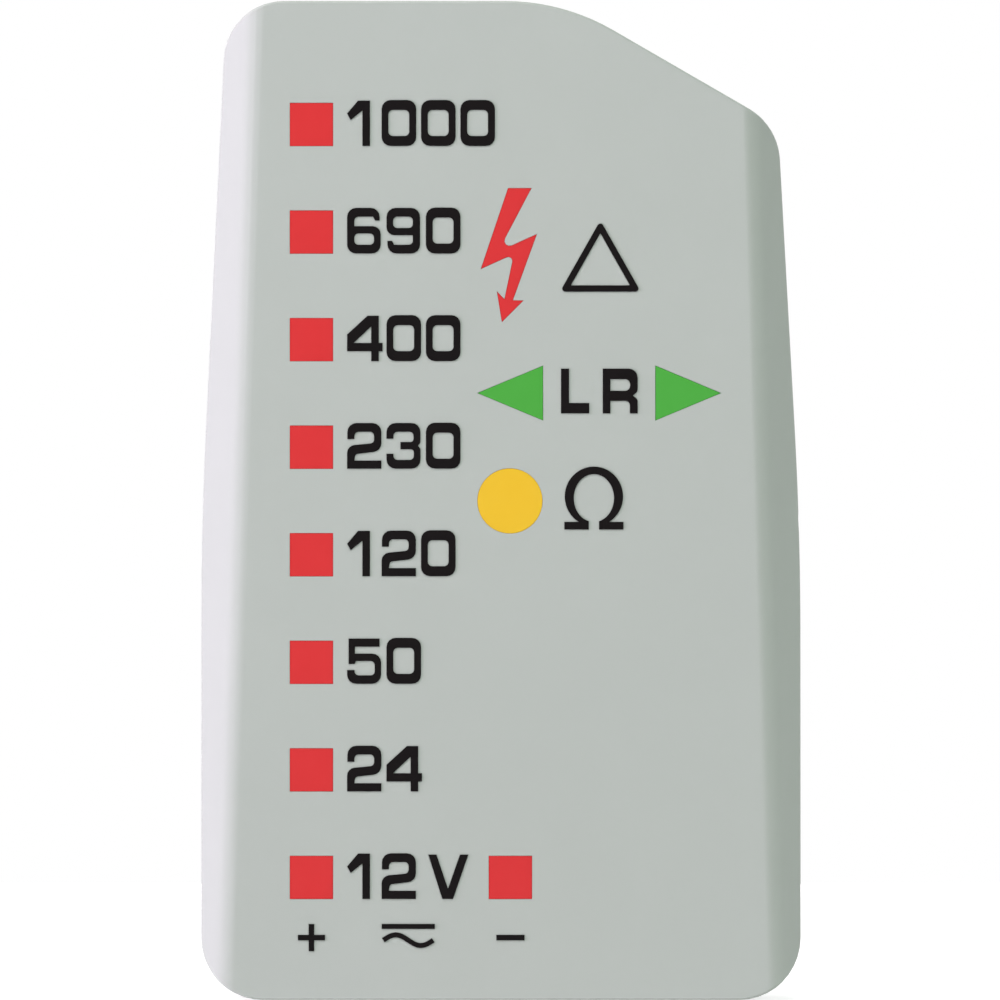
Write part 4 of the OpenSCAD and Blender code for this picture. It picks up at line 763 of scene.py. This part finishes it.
paint(cell, [nickel_steel, dark_sleeve, light_sleeve], cell_finish)
break_edges(cell, radius=0.05)
spots = []
for low, high in solids("battery_cells"):
    middle = (low + high) / 2
    if middle.x < 0:
        spots.append(((middle.x, middle.y, low.z), (0, 0, 0)))
    else:
        spots.append(((middle.x, middle.y, high.z), (math.pi, 0, 0)))
cells = repeated("cells", cell, spots)
smooth(cells)
fit(cells, "battery_cells", "cell_can")

# Thirteen surface-mounted lamps: a white cup, resin over the chip, a tinned terminal at each side
low, high = solids("indicator_lamps")[0]
LAMP_SIDE, LAMP_HEIGHT = high.x - low.x, high.y - low.y
TERMINAL, TERMINAL_WIDTH, TERMINAL_REACH = 0.12, 1.1, 1.3
CUP = [(0.3, 0), (0.16, -0.3)]
half, across = LAMP_SIDE / 2, TERMINAL_WIDTH / 2
package = brick("package", (TERMINAL - half, -LAMP_HEIGHT, -half), (half - TERMINAL, -TERMINAL, half))
ended(package, FRONT, CUP)
break_edges(package, radius=0.08)
paint(package, [white_epoxy, lamp_resin],
      lambda middle, normal: normal.y < -ALONG and middle.y > -LAMP_HEIGHT - CUP[1][1] / 2)
lamp_parts = [package]
for way in (-1, 1):
    near, far = sorted((way * half, way * (half - TERMINAL)))
    foot_near, foot_far = sorted((way * (half - TERMINAL), way * across))
    lamp_parts.append(brick("strap", (near, -TERMINAL_REACH, -across), (far, 0, across)))
    lamp_parts.append(brick("sole", (foot_near, -TERMINAL, -across), (foot_far, 0, across)))
for part in lamp_parts[1:]:
    part.data.materials.append(tin)
lamp_spots = [(((low.x + high.x) / 2, high.y, (low.z + high.z) / 2), (0, 0, 0))
              for low, high in solids("indicator_lamps")]
lamps = repeated("lamps", joined("lamp", lamp_parts), lamp_spots)
smooth(lamps)
fit(lamps, "indicator_lamps", "lamp_body")

# The microcontroller: a flat moulded package with a pin mark and eight gull-wing leads on each side
low, high = solids("microcontroller")[0]
middle = (low + high) / 2
LEAD_REACH, LEADS, LEAD_PITCH, LEAD_WIDTH, LEAD_THICK = 1.0, 8, 0.8, 0.3, 0.13
STANDOFF, SHOULDER = 0.1, 0.8
package = brick("package", (low.x + LEAD_REACH, low.y + STANDOFF, low.z + LEAD_REACH),
                (high.x - LEAD_REACH, high.y, high.z - LEAD_REACH))
break_edges(package, radius=0.12)
PIN_MARK, PIN_MARK_IN, PIN_MARK_DEEP = 0.4, 1.7, 0.08
mark = rod("mark", PIN_MARK, (high.x - PIN_MARK_IN, high.y - PIN_MARK_DEEP, high.z - PIN_MARK_IN),
           (high.x - PIN_MARK_IN, high.y + PIN_MARK_DEEP, high.z - PIN_MARK_IN), "y", sides=32)
shape(package, "BOOLEAN", operation="DIFFERENCE", object=mark)
bpy.data.objects.remove(mark)
package.data.materials.append(chip_epoxy)
flank = (high.x - low.x) / 2 - LEAD_REACH
bend = flank + LEAD_REACH / 2
width = LEAD_WIDTH / 2
lead = joined("lead", [
    brick("shoulder", (flank, SHOULDER - LEAD_THICK, -width), (bend - LEAD_THICK, SHOULDER, width)),
    brick("shin", (bend - LEAD_THICK, 0, -width), (bend, SHOULDER, width)),
    brick("foot", (bend, 0, -width), (flank + LEAD_REACH, LEAD_THICK, width))])
break_edges(lead, radius=0.03, segments=1)
lead.data.materials.append(tin)
lead_row = repeated("row", lead, [((0, 0, (i - (LEADS - 1) / 2) * LEAD_PITCH), (0, 0, 0))
                                  for i in range(LEADS)])
leads = repeated("leads", lead_row, [((middle.x, low.y, middle.z), (0, math.radians(90 * i), 0))
                                     for i in range(4)])
controller = joined("controller", [package, leads])
smooth(controller)
fit(controller, "microcontroller", "black_plastic")

# Five high-voltage resistors: lacquered rods with colour rings between pressed, tinned caps
low, high = solids("series_resistors")[0]
CAP, BODY_IN = 1.1, 0.1
RING, RINGS = 0.35, ((-1.9, brown_ring), (-1.15, red_ring), (-0.4, brown_ring), (1.6, gold_ring))
radius, half = (high.z - low.z) / 2, (high.x - low.x) / 2
stick = rod("stick", radius - BODY_IN, (CAP / 2 - half, 0, 0), (RINGS[0][0] - RING / 2, 0, 0), "x", sides=64)
cuts = [place + side for place, ring in RINGS for side in (-RING / 2, RING / 2)] + [half - CAP / 2]
ended(stick, RIGHT, [(0, after - before) for before, after in zip(cuts, cuts[1:])])


def ring_at(middle, normal):
    """The number of the ring that a face lies in, or 0 for the lacquer."""
    return next((i + 1 for i, (place, ring) in enumerate(RINGS) if abs(middle.x - place) < RING / 2), 0)


paint(stick, [blue_lacquer] + [ring for place, ring in RINGS], ring_at)
ends = [rod("cap", radius, (-half, 0, 0), (CAP - half, 0, 0), "x", sides=64),
        rod("cap", radius, (half - CAP, 0, 0), (half, 0, 0), "x", sides=64)]
for part in ends:
    break_edges(part, radius=0.15)
    part.data.materials.append(tin)
resistor = joined("resistor", [stick] + ends)
resistors = repeated("resistors", resistor,
                     [((low + high) / 2, (0, 0, 0)) for low, high in solids("series_resistors")])
smooth(resistors)
fit(resistors, "series_resistors", "resistor_body")
